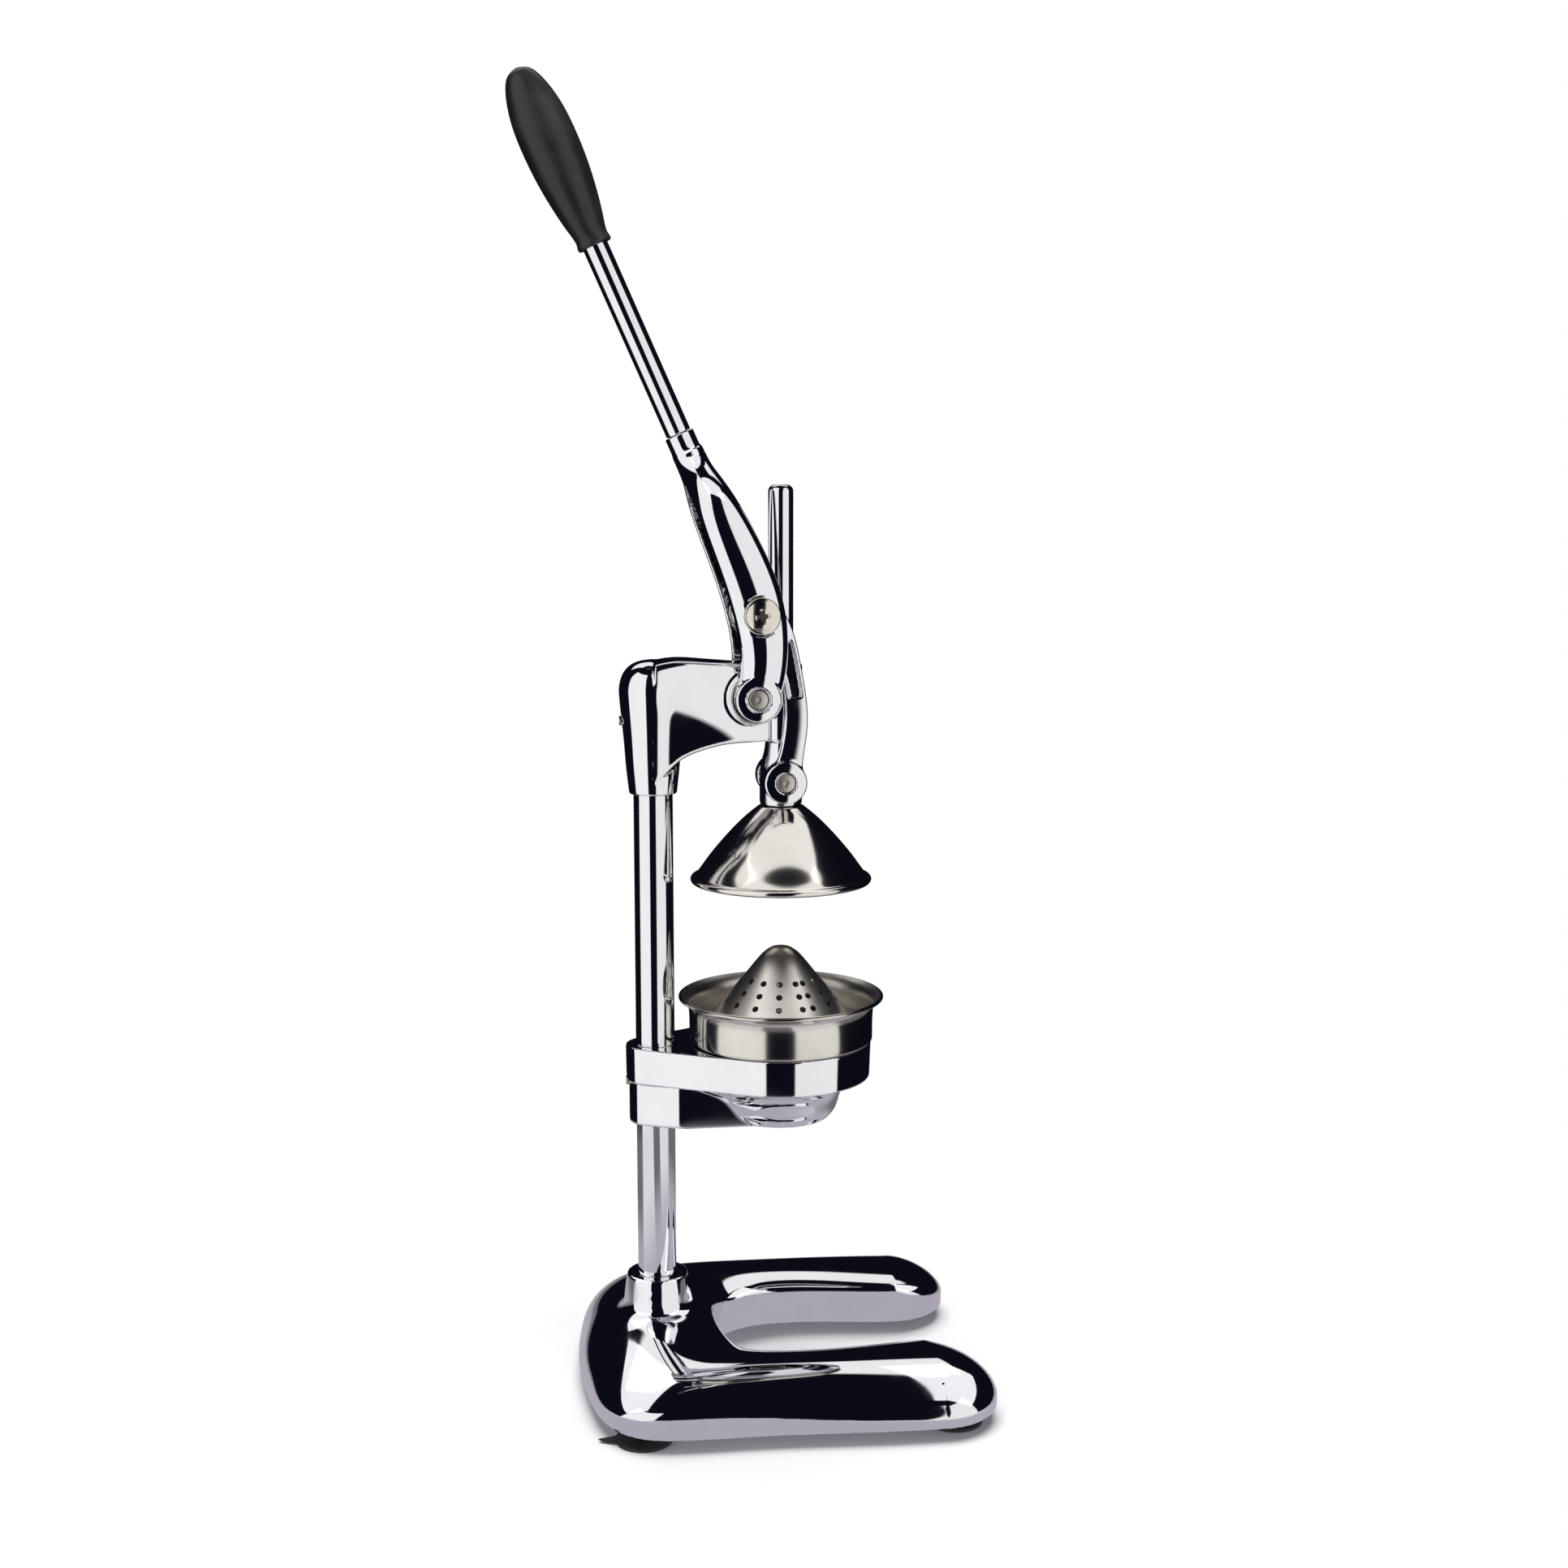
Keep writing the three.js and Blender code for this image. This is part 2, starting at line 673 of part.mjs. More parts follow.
// Juice cup: spun sheet, with a ledge that rests on the ring, a bowl above and a funnel below
const cupWall = 1.2;
const cupRimRadius = 58.6;
const cupRise = 26; // the rim, above the ledge's underside
const cupShoulderRadius = 52.4;
const cupFunnelFall = 16; // the funnel's top, below the ring's top face
const cupFunnelDrop = 19.7; // the funnel's own height
const cupFunnelCorner = 2.4;
const spoutRadius = 12;
const spoutLength = 6.8;

const cupLedge = holderTop + seatGap;
const cupStepRadius = holderBore - slideGap;

// Shares of the way from shoulder to rim radius, and of the rise
const cupBowlShares = [[0, 0], [0.08, 0.2], [0.47, 0.465], [0.82, 0.666], [0.97, 0.88], [1, 1]];

function makeCup() {
  const funnelTop = holderTop - cupFunnelFall;
  const funnelFoot = funnelTop - cupFunnelDrop;
  const bowl = cupBowlShares.map(([out, up]) => [
    cupShoulderRadius + out * (cupRimRadius - cupShoulderRadius), cupLedge + up * cupRise,
  ]);
  return revolveRing(sheetProfile([
    [spoutRadius, funnelFoot - spoutLength],
    [spoutRadius, funnelFoot],
    [cupStepRadius - cupFunnelCorner, funnelTop],
    [cupStepRadius, funnelTop + cupFunnelCorner],
    [cupStepRadius, cupLedge],
    ...bowl,
  ], cupWall), roundSteps);
}

// Strainer cone: sheet, pierced round its lower half, on a flat flange that rests in the cup
const coneWall = 1.2;
const coneHeight = 51.5; // above the flange
const coneRadius = 45.5;
const coneFlangeRadius = 49.8;
const strainerHoleRadius = 1.6;
const strainerColumns = 15;
const strainerTurn = 24.86; // degrees from column to column: the last gap is about half as wide
const strainerFirstTurn = -63; // degrees from +X
const strainerRows = 3;
const strainerFirst = 21.3; // the lowest row, above the flange
const strainerPitch = 6.15; // from row to row

const flangeTop = cupLedge + cupWall + seatGap + coneWall;

// Shares of the radius and of the height
const coneShares = [
  [1, 0], [0.989, 0.086], [0.791, 0.312], [0.429, 0.701], [0.22, 0.921], [0.121, 0.982], [0, 1],
];

function coneOutline() {
  return coneShares.map(([out, up]) => [out * coneRadius, flangeTop + up * coneHeight]);
}

// The radius of an outline at a height, and the angle that its side leans inward
function outlineAt(points, z) {
  const i = points.findIndex((point) => point[1] > z);
  const [low, high] = [points[i - 1], points[i]];
  const radius = THREE.MathUtils.mapLinear(z, low[1], high[1], low[0], high[0]);
  return { radius, lean: Math.atan2(low[0] - high[0], high[1] - low[1]) };
}

function strainerHoles() {
  const rows = Array.from({ length: strainerRows }, (_, row) => {
    const z = flangeTop + strainerFirst + row * strainerPitch;
    const { radius, lean } = outlineAt(coneOutline(), z);
    const hole = rod(strainerHoleRadius, -coneWall - cutOver, cutOver, holeSteps)
      .rotate([0, 90 - THREE.MathUtils.radToDeg(lean), 0])
      .translate([radius, 0, z]);
    return Array.from({ length: strainerColumns }, (_, column) => (
      hole.rotate([0, 0, strainerFirstTurn + column * strainerTurn])
    ));
  });
  return rows.flat();
}

function makeCone() {
  const shell = revolveRing(
    sheetProfile([[coneFlangeRadius, flangeTop], ...coneOutline()], coneWall), roundSteps,
  );
  return cut(shell, join(...strainerHoles()));
}

// Plunger: the rod, the block that carries the links' feet, and the bell under it
const blockFall = 14.5; // the block's foot, below the links' foot pivot
const blockHeight = 36;
const blockRadius = 12;
const blockFloor = 3.7; // the metal under the rod's shoulder
const blockBossRadius = 9.5;
const blockBossReach = 12; // from the middle plane
const rodHeight = 174.5; // above its shoulder
const rodCrown = 3.6; // the round of its top edge
const rodCrownSteps = 3;
const rodStudRadius = 5;
const bellWall = 1.3;
const bellRadius = 51.4; // over the rolled rim
const bellHeight = 44.4;
const bellCrownRadius = 11.5;
const bellBeadRadius = 1.9;
const bellBeadSteps = 3;
const bellWasherRadius = 10;
const bellWasherThickness = 1;
const bellNutAcross = 17; // across the flats
const bellNutHeight = 4;

const blockFoot = linkFootZ - blockFall;
const rodShoulder = blockFoot + blockFloor + seatGap;
const bellTop = blockFoot - seatGap;
const bellWasherTop = bellTop - bellWall - seatGap;
const bellNutTop = bellWasherTop - bellWasherThickness - seatGap;
const bellNutFoot = bellNutTop - bellNutHeight;

// Shares of the block's radius and height
const blockShares = [[0.93, 0], [1, 0.03], [1, 0.24], [0.958, 0.6], [0.8, 0.825], [0.73, 1]];
// Shares of the bell's radius and height, from the rim up
const bellShares = [
  [0.94, 0.104], [0.895, 0.171], [0.8, 0.324], [0.661, 0.523], [0.525, 0.698], [0.379, 0.863],
];
// Shares of half a turn at which the rolled rim starts and ends
const bellBeadShares = [-0.75, 0.45];

function makePlungerRod() {
  const top = rodShoulder + rodHeight;
  const crown = steps(rodCrownSteps).map((share) => {
    const angle = share * (Math.PI / 2);
    return [
      pressRodRadius - rodCrown * (1 - Math.cos(angle)), top - rodCrown * (1 - Math.sin(angle)),
    ];
  });
  return revolve([
    [0, bellNutFoot],
    [rodStudRadius, bellNutFoot],
    [rodStudRadius, rodShoulder],
    [pressRodRadius, rodShoulder],
    ...crown,
    [0, top],
  ], mediumSteps);
}

function makePlungerBlock() {
  const top = blockFoot + blockHeight;
  const barrel = revolve([
    [0, blockFoot],
    ...blockShares.map(([out, up]) => [out * blockRadius, blockFoot + up * blockHeight]),
    [0, top],
  ], mediumSteps);
  const boss = crossRod(blockBossRadius, -blockBossReach, blockBossReach, mediumSteps, [0, linkFootZ]);
  return cut(
    join(barrel, boss),
    rod(boreOf(pressRodRadius), blockFoot + blockFloor, top + cutOver, mediumSteps),
    rod(boreOf(rodStudRadius), blockFoot - cutOver, blockFoot + blockFloor + cutOver, smallSteps),
  );
}

function makeBell() {
  const foot = bellTop - bellHeight;
  const beadMiddle = [bellRadius - bellBeadRadius, foot + bellBeadRadius];
  const wallPoints = [
    beadMiddle,
    ...bellShares.map(([out, up]) => [out * bellRadius, foot + up * bellHeight]),
    [bellCrownRadius + bellWall, bellTop - bellWall / 2],
    [bellCrownRadius, bellTop],
    [boreOf(rodStudRadius), bellTop],
  ];
  const bead = steps(bellBeadSteps).map((share) => {
    const angle = THREE.MathUtils.lerp(...bellBeadShares, share) * Math.PI;
    return [
      beadMiddle[0] + bellBeadRadius * Math.cos(angle), beadMiddle[1] + bellBeadRadius * Math.sin(angle),
    ];
  });
  return revolveRing([...bead, ...sheetProfile(wallPoints, bellWall).slice(1)], roundSteps);
}

function makeBellWasher() {
  const low = bellWasherTop - bellWasherThickness;
  return makeWasher(bellWasherRadius, boreOf(rodStudRadius), low, bellWasherTop);
}

function makeBellNut() {
  const bore = rod(boreOf(rodStudRadius), bellNutFoot - cutOver, bellNutTop + cutOver, smallSteps);
  return cut(hexRod(bellNutAcross, bellNutFoot, bellNutTop), bore);
}

// Lever fork: two arms that rise from the main pivot, lean back and meet under the socket
const forkHeight = 127.3; // from the main pivot to the socket's foot
const forkReach = 32.9; // the socket's foot, behind the main pivot
const forkHalfWidth = 14.3;
const forkBossRadius = 12.5;
const forkBossProud = 0.6; // past the crown
const forkBossEdge = 1.4;
const forkStations = 10;
const forkSides = 5; // facets round an arm's crown
const forkSpotRadius = 11.2; // the flat round the link arm's screw
const forkSpotInset = 0.7; // below the crown
const forkPinSinkRadius = 6.6;
const forkPinSinkDepth = 1;
const linkScrewRadius = 4;
const socketRadius = 8.2;
const socketLength = 18.3;
const socketEdge = 0.6;
const handleStudRadius = 5;
const handleStudLength = 20;

const linkTopPlace = [linkTopX, linkTopZ];

// Shares: back, up, half width, the inner face's place and the crown's place
const forkShares = [
  [0, 0, 0.86, 1, 1], [-0.112, 0.157, 0.909, 1, 1], [-0.04, 0.361, 1, 1, 1], [0.213, 0.566, 0.972, 1, 1],
  [0.535, 0.754, 0.86, 0.98, 1], [0.733, 0.864, 0.755, 0.714, 0.927], [0.869, 0.939, 0.664, 0.204, 0.717],
  [0.96, 0.99, 0.601, -0.051, 0.472], [1.052, 1.041, 0.573, -0.051, 0.315],
];
// Shares of an arm's half width and thickness at its two inner edges
const forkEdgeShares = [0.93, 0.12];
const crownPower = 0.6; // 1 is an ellipse, less is a flatter crown

// A station between the listed ones, by the same smooth curve in every column
function stationAt(rows, share) {
  const columns = rows[0].map((_, column) => smooth(rows.map((row, i) => [i, row[column]])));
  return columns.map((column) => column(share).y);
}

// A section of an arm: the flat inner face, then the crown
function forkSection(middle, across, halfWidth, inner, outer) {
  const [edgeOut, edgeUp] = forkEdgeShares;
  const point = (out, y) => new THREE.Vector3(middle.x + out * across.x, y, middle.y + out * across.y);
  const spring = THREE.MathUtils.lerp(inner, outer, edgeUp);
  const crown = steps(forkSides).map((share) => {
    const angle = Math.PI * share;
    return point(halfWidth * Math.cos(angle), spring + (outer - spring) * Math.sin(angle) ** crownPower);
  });
  return [point(-edgeOut * halfWidth, inner), point(edgeOut * halfWidth, inner), ...crown];
}

function makeForkArm() {
  const stations = steps(forkStations).map((share) => {
    const [back, up, width, inner, outer] = stationAt(forkShares, share);
    return {
      middle: new THREE.Vector2(pivotX - back * forkReach, pivotHeight + up * forkHeight),
      halfWidth: width * forkHalfWidth,
      inner: inner * forkInner,
      outer: outer * forkOuter,
    };
  });
  return loft(stations.map(({ middle, halfWidth, inner, outer }, i) => {
    const last = stations[Math.max(i - 1, 0)].middle;
    const next = stations[Math.min(i + 1, forkStations)].middle;
    const along = next.clone().sub(last).normalize();
    return forkSection(middle, new THREE.Vector2(along.y, -along.x), halfWidth, inner, outer);
  }));
}

// The handle's frame: its height runs up the leaning socket from the socket's foot
function onHandle(solid) {
  return solid.rotate([0, -handleLean, 0]).translate([pivotX - forkReach, 0, pivotHeight + forkHeight]);
}

function makeFork() {
  const crown = forkOuter + forkBossProud;
  const boss = crossRevolve([
    [0, forkInner],
    [forkBossRadius, forkInner],
    [forkBossRadius, crown - forkBossEdge],
    [forkBossRadius - forkBossEdge, crown],
    [0, crown],
  ], mediumSteps, pivotPlace);
  const socket = onHandle(revolve([
    [0, -socketRadius / 2],
    [socketRadius, -socketRadius / 2],
    [socketRadius, socketLength - socketEdge],
    [socketRadius - socketEdge, socketLength],
    [0, socketLength],
  ], mediumSteps));
  const sink = forkOuter - forkPinSinkDepth;
  const cuts = join(
    crossRod(boreOf(pivotPinRadius), forkInner - cutOver, crown + cutOver, smallSteps, pivotPlace),
    crossRod(forkPinSinkRadius, sink, crown + cutOver, smallSteps, pivotPlace),
    crossRod(boreOf(linkScrewRadius), forkInner - cutOver, crown + cutOver, smallSteps, linkTopPlace),
    crossRod(forkSpotRadius, forkOuter - forkSpotInset, crown + cutOver, mediumSteps, linkTopPlace),
  );
  const studBore = rod(
    boreOf(handleStudRadius), socketLength - handleStudLength - seatGap, socketLength + cutOver, smallSteps,
  );
  return cut(join(bothSides(join(makeForkArm(), boss)), socket), bothSides(cuts), onHandle(studBore));
}

// Handle: the rod screwed into the socket, and the moulded grip on its end
const handleLength = 185; // above the socket's top
const gripStart = 109; // above the socket's top
const gripLength = 100;
const gripRadius = 15.5;

const handleFoot = socketLength + seatGap;
const gripFoot = socketLength + gripStart;

// Shares of the grip's radius and of its length
const gripShares = [
  [0.594, 0], [0.619, 0.02], [0.581, 0.05], [0.684, 0.13], [0.839, 0.26], [0.955, 0.41], [1, 0.56],
  [0.968, 0.71], [0.839, 0.83], [0.645, 0.92], [0.4, 0.975],
];

function makeHandleRod() {
  return onHandle(revolve([
    [0, socketLength - handleStudLength],
    [handleStudRadius, socketLength - handleStudLength],
    [handleStudRadius, handleFoot],
    [pressRodRadius, handleFoot],
    [pressRodRadius, handleFoot + handleLength],
    [0, handleFoot + handleLength],
  ], mediumSteps));
}

function makeGrip() {
  const body = revolve([
    [0, gripFoot],
    ...gripShares.map(([out, up]) => [out * gripRadius, gripFoot + up * gripLength]),
    [0, gripFoot + gripLength],
  ], mediumSteps);
  const boreEnd = handleFoot + handleLength + seatGap;
  const bore = rod(boreOf(pressRodRadius), gripFoot - cutOver, boreEnd, mediumSteps);
  return onHandle(cut(body, bore));
}

// Link arms: two curved bars between the fork and the plunger block
const linkInner = 12.3; // the inner face, from the middle plane
const linkThickness = 6.7;
const linkRound = 1.3;
const linkTopHalfWidth = 12.5;
const linkFootRadius = 12;
const linkFootReach = 23.2; // the foot's boss, from the middle plane
const linkFootEdge = 1.2;
const linkPinReach = 22; // from the middle plane
const linkStations = 8;
const linkPocketDepth = 2;
const linkPocketRim = 3;

const linkFootPlace = [0, linkFootZ];

// Shares of the way down and of the bow to the front, and of the top's half width
const linkShares = [
  [0, 0, 1], [0.094, 0.562, 0.76], [0.234, 0.854, 0.6], [0.395, 0.99, 0.504], [0.567, 0.958, 0.512],
  [0.729, 0.718, 0.528], [0.89, 0.323, 0.6], [1, 0, 0.96],
];
// The bow is how far the arm stands in front of the straight line between its two pivots
const linkBow = 12.8;
// The pocket's first and last place on the way down
const pocketShares = [0.15, 0.5];

function linkStation(share) {
  const [down, bow, width] = stationAt(linkShares, share);
  const x = THREE.MathUtils.lerp(linkTopX, 0, down) + bow * linkBow;
  const z = THREE.MathUtils.lerp(linkTopZ, linkFootZ, down);
  return { middle: new THREE.Vector2(x, z), halfWidth: width * linkTopHalfWidth };
}

// Both edges of the bar between two shares of its way, drawn in by a rim
function linkOutline(from, to, rim) {
  const places = steps(linkStations).map((share) => THREE.MathUtils.lerp(from, to, share));
  const near = [];
  const far = [];
  places.forEach((share) => {
    const { middle, halfWidth } = linkStation(share);
    const step = 1 / (2 * linkStations);
    const last = linkStation(Math.max(share - step, 0)).middle;
    const along = linkStation(Math.min(share + step, 1)).middle.sub(last).normalize();
    const out = new THREE.Vector2(-along.y, along.x).multiplyScalar(halfWidth - rim);
    near.push([middle.x + out.x, middle.y + out.y]);
    far.push([middle.x - out.x, middle.y - out.y]);
  });
  return [...near, ...far.reverse()];
}

function makeLinkArm() {
  const outer = linkInner + linkThickness;
  const bar = sidePlate(linkOutline(0, 1, 0), linkInner, outer, linkRound);
  const eye = crossRevolve([
    [0, linkInner],
    [linkTopHalfWidth, linkInner],
    [linkTopHalfWidth, outer - linkRound],
    [linkTopHalfWidth - linkRound, outer],
    [0, outer],
  ], mediumSteps, linkTopPlace);
  const foot = crossRevolve([
    [0, linkInner],
    [linkFootRadius, linkInner],
    [linkFootRadius, linkFootReach - linkFootEdge],
    [linkFootRadius - linkFootEdge, linkFootReach],
    [0, linkFootReach],
  ], mediumSteps, linkFootPlace);
  const pocketFloor = outer - linkPocketDepth;
  return cut(
    join(bar, eye, foot),
    sidePlate(linkOutline(...pocketShares, linkPocketRim), pocketFloor, outer + cutOver, 0),
    crossRod(boreOf(linkScrewRadius), linkInner - cutOver, outer + cutOver, smallSteps, linkTopPlace),
    crossRod(boreOf(pivotPinRadius), linkInner - cutOver, linkFootReach + cutOver, smallSteps, linkFootPlace),
  );
}

function makeLinkPin() {
  return crossRod(pivotPinRadius, linkInner, linkPinReach, smallSteps, linkFootPlace);
}

// The screw that joins an arm of the fork to its link arm, with a cross recess in its head
const linkScrewHeadRadius = 10.2;
const linkScrewHeadHeight = 4;
const linkScrewHeadRound = 1.6;
const crossRecessLength = 9;
const crossRecessWidth = 1.8;
const crossRecessDepth = 2;

function makeLinkScrew() {
  const seat = forkOuter - forkSpotInset + seatGap;
  const top = seat + linkScrewHeadHeight;
  const body = crossRevolve([
    [0, linkInner + seatGap],
    [linkScrewRadius, linkInner + seatGap],
    [linkScrewRadius, seat],
    [linkScrewHeadRadius, seat],
    [linkScrewHeadRadius, top - linkScrewHeadRound],
    [linkScrewHeadRadius - linkScrewHeadRound / 2, top - linkScrewHeadRound / 3],
    [linkScrewHeadRadius - 2 * linkScrewHeadRound, top],
    [0, top],
  ], mediumSteps, linkTopPlace);
  const slot = sidePlate([
    [-crossRecessLength / 2, -crossRecessWidth / 2],
    [crossRecessLength / 2, -crossRecessWidth / 2],
    [crossRecessLength / 2, crossRecessWidth / 2],
    [-crossRecessLength / 2, crossRecessWidth / 2],
  ], top - crossRecessDepth, top + cutOver, 0);
  const recess = join(slot, slot.rotate([0, 90, 0])).rotate([0, 45, 0]);
  return cut(body, recess.translate([linkTopX, 0, linkTopZ]));
}

// The press, piece by piece
addPart('base_casting', makeBase(), chrome);
footPlaces().forEach(([x, y]) => {
  const corner = `${x > 0 ? 'front' : 'back'}_${y > 0 ? 'right' : 'left'}`;
  addPart(`suction_foot_${corner}`, makeFoot().translate([x, y, 0]), blackRubber);
  addPart(`foot_stud_${corner}`, makeFootStud().translate([x, y, 0]), nickel);
});
addPart('column', makeColumn(), chrome);
addPart('column_bolt', makeColumnBolt(), nickel);
addPart('column_washer', makeColumnWasher(), nickel);
addPart('head_casting', makeHead(), chrome);
addPart('head_set_screw', makeSetScrew(pivotHeight - headScrewFall, headSleeveRadius), nickel);
addPart('cup_holder', makeHolder(), chrome);
addPart('holder_set_screw', makeSetScrew(holderTop - holderScrewFall, holderSleeveRadius), nickel);
addPart('juice_cup', makeCup(), satinSteel);
addPart('strainer_cone', makeCone(), satinSteel);
addPart('plunger_rod', makePlungerRod(), chrome);
addPart('plunger_block', makePlungerBlock(), chrome);
addPart('press_bell', makeBell(), polishedSteel);
addPart('bell_washer', makeBellWasher(), nickel);
addPart('bell_nut', makeBellNut(), nickel);
addPart('pivot_pin', makePivotPin(), nickel);
addPart('lever_fork', makeFork(), chrome);
addPart('handle_rod', makeHandleRod(), chrome);
addPart('grip', makeGrip(), blackPlastic);

// Pieces in pairs, made on the right side
function addPair(name, solid, material) {
  addPart(`${name}_right`, solid, material);
  addPart(`${name}_left`, mirrorY(solid), material);
}
addPair('pivot_washer', makePivotWasher(), nickel);
addPair('link_arm', makeLinkArm(), chrome);
addPair('link_screw', makeLinkScrew(), nickel);
addPair('link_pin', makeLinkPin(), nickel);

// The origin goes under the middle of the outline
const press = new THREE.Group();
press.add(...parts);
const outline = new THREE.Box3().setFromObject(press);
const middle = outline.getCenter(new THREE.Vector3());
press.position.set(-middle.x, -middle.y, -outline.min.z);

export default press;
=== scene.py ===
# %% [markdown]
# A lever citrus press, dressed for the studio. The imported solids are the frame: they say where
# every piece is and how big it is. This notebook gives each of them its real surface.
# Most pieces are mirror chrome, which shows every bump, so the shapes are built finely and the
# joints between them are rounded as a polished casting's are.

# %% The frame
import json
import math

import bmesh
import bpy
import numpy as np
from mathutils import Matrix, Vector


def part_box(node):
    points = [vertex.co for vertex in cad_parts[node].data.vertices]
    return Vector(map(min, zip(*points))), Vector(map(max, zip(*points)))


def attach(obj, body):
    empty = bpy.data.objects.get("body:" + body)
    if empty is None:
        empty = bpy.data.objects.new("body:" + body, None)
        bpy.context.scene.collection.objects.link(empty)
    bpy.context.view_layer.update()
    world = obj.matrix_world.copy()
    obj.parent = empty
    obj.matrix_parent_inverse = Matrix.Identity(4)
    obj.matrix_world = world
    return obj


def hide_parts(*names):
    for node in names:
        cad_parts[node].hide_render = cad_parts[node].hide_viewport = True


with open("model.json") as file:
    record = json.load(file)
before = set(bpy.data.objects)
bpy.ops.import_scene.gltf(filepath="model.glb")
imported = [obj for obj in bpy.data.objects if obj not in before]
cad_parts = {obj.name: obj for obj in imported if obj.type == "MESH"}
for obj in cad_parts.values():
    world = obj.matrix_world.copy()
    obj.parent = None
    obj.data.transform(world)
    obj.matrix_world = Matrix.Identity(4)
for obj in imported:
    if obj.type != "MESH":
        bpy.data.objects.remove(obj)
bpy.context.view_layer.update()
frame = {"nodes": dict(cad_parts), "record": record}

MM = 0.001

# %% [markdown]
# Nothing is placed by eye. The press axis, the column and the three pivots are read from the
# frame once, and every later piece is built round them.

# %% The axes and pivots, read from the frame
def middle_of(node):
    low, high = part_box(node)
    return (low + high) / 2


def half_of(node):
    low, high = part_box(node)
    return (high - low) / 2


def heights_of(node):
    """The lowest and the highest point, in millimetres."""
    return [corner.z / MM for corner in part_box(node)]


press_x = middle_of("press_bell").x
column_x = middle_of("column").x
pivot = middle_of("pivot_pin")
link_top = middle_of("link_screw_right")
link_foot = middle_of("link_pin_right")
print("press axis", round(press_x, 4), "column", round(column_x, 4), "pivot", round(pivot.z, 4))

# %% [markdown]
# The camera comes first, so that every later choice can be judged in the photograph's view. A
# pinhole camera was fitted to the picture: its turn, its tilt, its height and its distance from
# the press axis. The lens follows from the focal length in pixels.

# %% The camera
photo_side = 1932
focal_pixels = 2505.26
sensor_width = 36
camera_turn = math.radians(7.94)
camera_tilt = math.radians(8.1)
camera_distance = 1136.44 * MM
camera_height = 509.3 * MM
camera_aside = 1.81 * MM

camera_data = bpy.data.cameras.new("photo_camera")
camera_data.sensor_width = sensor_width
camera_data.lens = focal_pixels / photo_side * sensor_width
camera = bpy.data.objects.new("photo_camera", camera_data)
bpy.context.scene.collection.objects.link(camera)
ahead = Vector((math.sin(camera_turn), math.cos(camera_turn), 0))
aside = Vector((math.cos(camera_turn), -math.sin(camera_turn), 0))
camera.location = (
    Vector((press_x, 0, camera_height)) - camera_distance * ahead + camera_aside * aside
)
camera.rotation_euler = (math.pi / 2 - camera_tilt, 0, -camera_turn)
bpy.context.scene.camera = camera
print("lens", round(camera_data.lens, 2), "mm")

# %% [markdown]
# Node maths reads best as plain sums. A Socket wraps one output of a node, so that `1 - mask` or
# `height * 3` adds the Math node by itself. Nodes holds a tree, and its one method `node` makes
# any node in it: its settings first, then its sockets. Paint is such a tree for a material or
# for the world, with short names for the few nodes that every finish here is made of.

# %% Node maths as Python sums
class Socket:
    def __init__(self, nodes, link):
        self.nodes = nodes
        self.link = link

    def __add__(self, other):
        return self.nodes.maths("ADD", self, other)

    def __sub__(self, other):
        return self.nodes.maths("SUBTRACT", self, other)

    def __rsub__(self, other):
        return self.nodes.maths("SUBTRACT", other, self)

    def __mul__(self, other):
        return self.nodes.maths("MULTIPLY", self, other)

    def __truediv__(self, other):
        return self.nodes.maths("DIVIDE", self, other)

    __radd__ = __add__
    __rmul__ = __mul__


class Nodes:
    def __init__(self, tree):
        self.tree = tree

    def node(self, kind, values=None, **settings):
        made = self.tree.nodes.new(kind if "Node" in kind else "ShaderNode" + kind)
        for setting, value in settings.items():
            setattr(made, setting, value)
        for name, value in (values or {}).items():
            self.put(made.inputs[name], value)
        return made

    def put(self, socket, value):
        if isinstance(value, bpy.types.Node):
            value = self.take(value)
        if isinstance(value, Socket):
            self.tree.links.new(value.link, socket)
        else:
            socket.default_value = value

    def take(self, made, name=0):
        return Socket(self, made.outputs[name])

    def maths(self, operation, *values):
        return self.take(self.node("Math", dict(enumerate(values)), operation=operation))


class Paint(Nodes):
    def __init__(self, tree):
        super().__init__(tree)
        tree.nodes.clear()

    def place(self):
        return self.take(self.node("TexCoord"), "Object")

    def attribute(self, name):
        return self.take(self.node("Attribute", attribute_name=name), "Fac")

    def split(self, vector, names):
        made = self.node("SeparateXYZ", {"Vector": vector})
        return [self.take(made, name) for name in names]

    def around(self, across, depth):
        return self.maths("ARCTAN2", across, depth * -1) * (180 / math.pi)

    def ramp(self, value, low, high, start=0.0, end=1.0):
        values = {"Value": value, "From Min": low, "From Max": high, "To Min": start, "To Max": end}
        return self.take(self.node("MapRange", values, interpolation_type="SMOOTHSTEP"))

    def between(self, value, starts, full, falls, gone):
        return self.ramp(value, starts, full) * self.ramp(value, falls, gone, 1, 0)

    def mix(self, share, one, other):
        made = self.node("Mix", {0: share, 6: one, 7: other}, data_type="RGBA")
        return self.take(made, 2)

    def noise(self, place, scale, detail=2.0, roughness=0.5):
        values = {"Vector": place, "Scale": scale, "Detail": detail, "Roughness": roughness}
        return self.take(self.node("TexNoise", values), "Fac")


def new_paint(name):
    material = bpy.data.materials.new(name)
    material.use_nodes = True
    return material, Paint(material.node_tree)


print("node helpers ready")

# %% [markdown]
# The studio is a ring of soft white panels in the dark, as a photographer sets it for chrome:
# the metal shows the panels as broad white bands and the gaps between them as black ones. The
# panels are painted on the world, so they are endlessly far away and need no lamps. What the
# camera sees directly is a plain white room.

# %% The studio
panel_edge = 1.5
white_room = (1.0, 1.0, 1.0, 1.0)
dark_room = (0.004, 0.004, 0.009, 1.0)
panel_white = (1.0, 0.995, 0.985, 1.0)
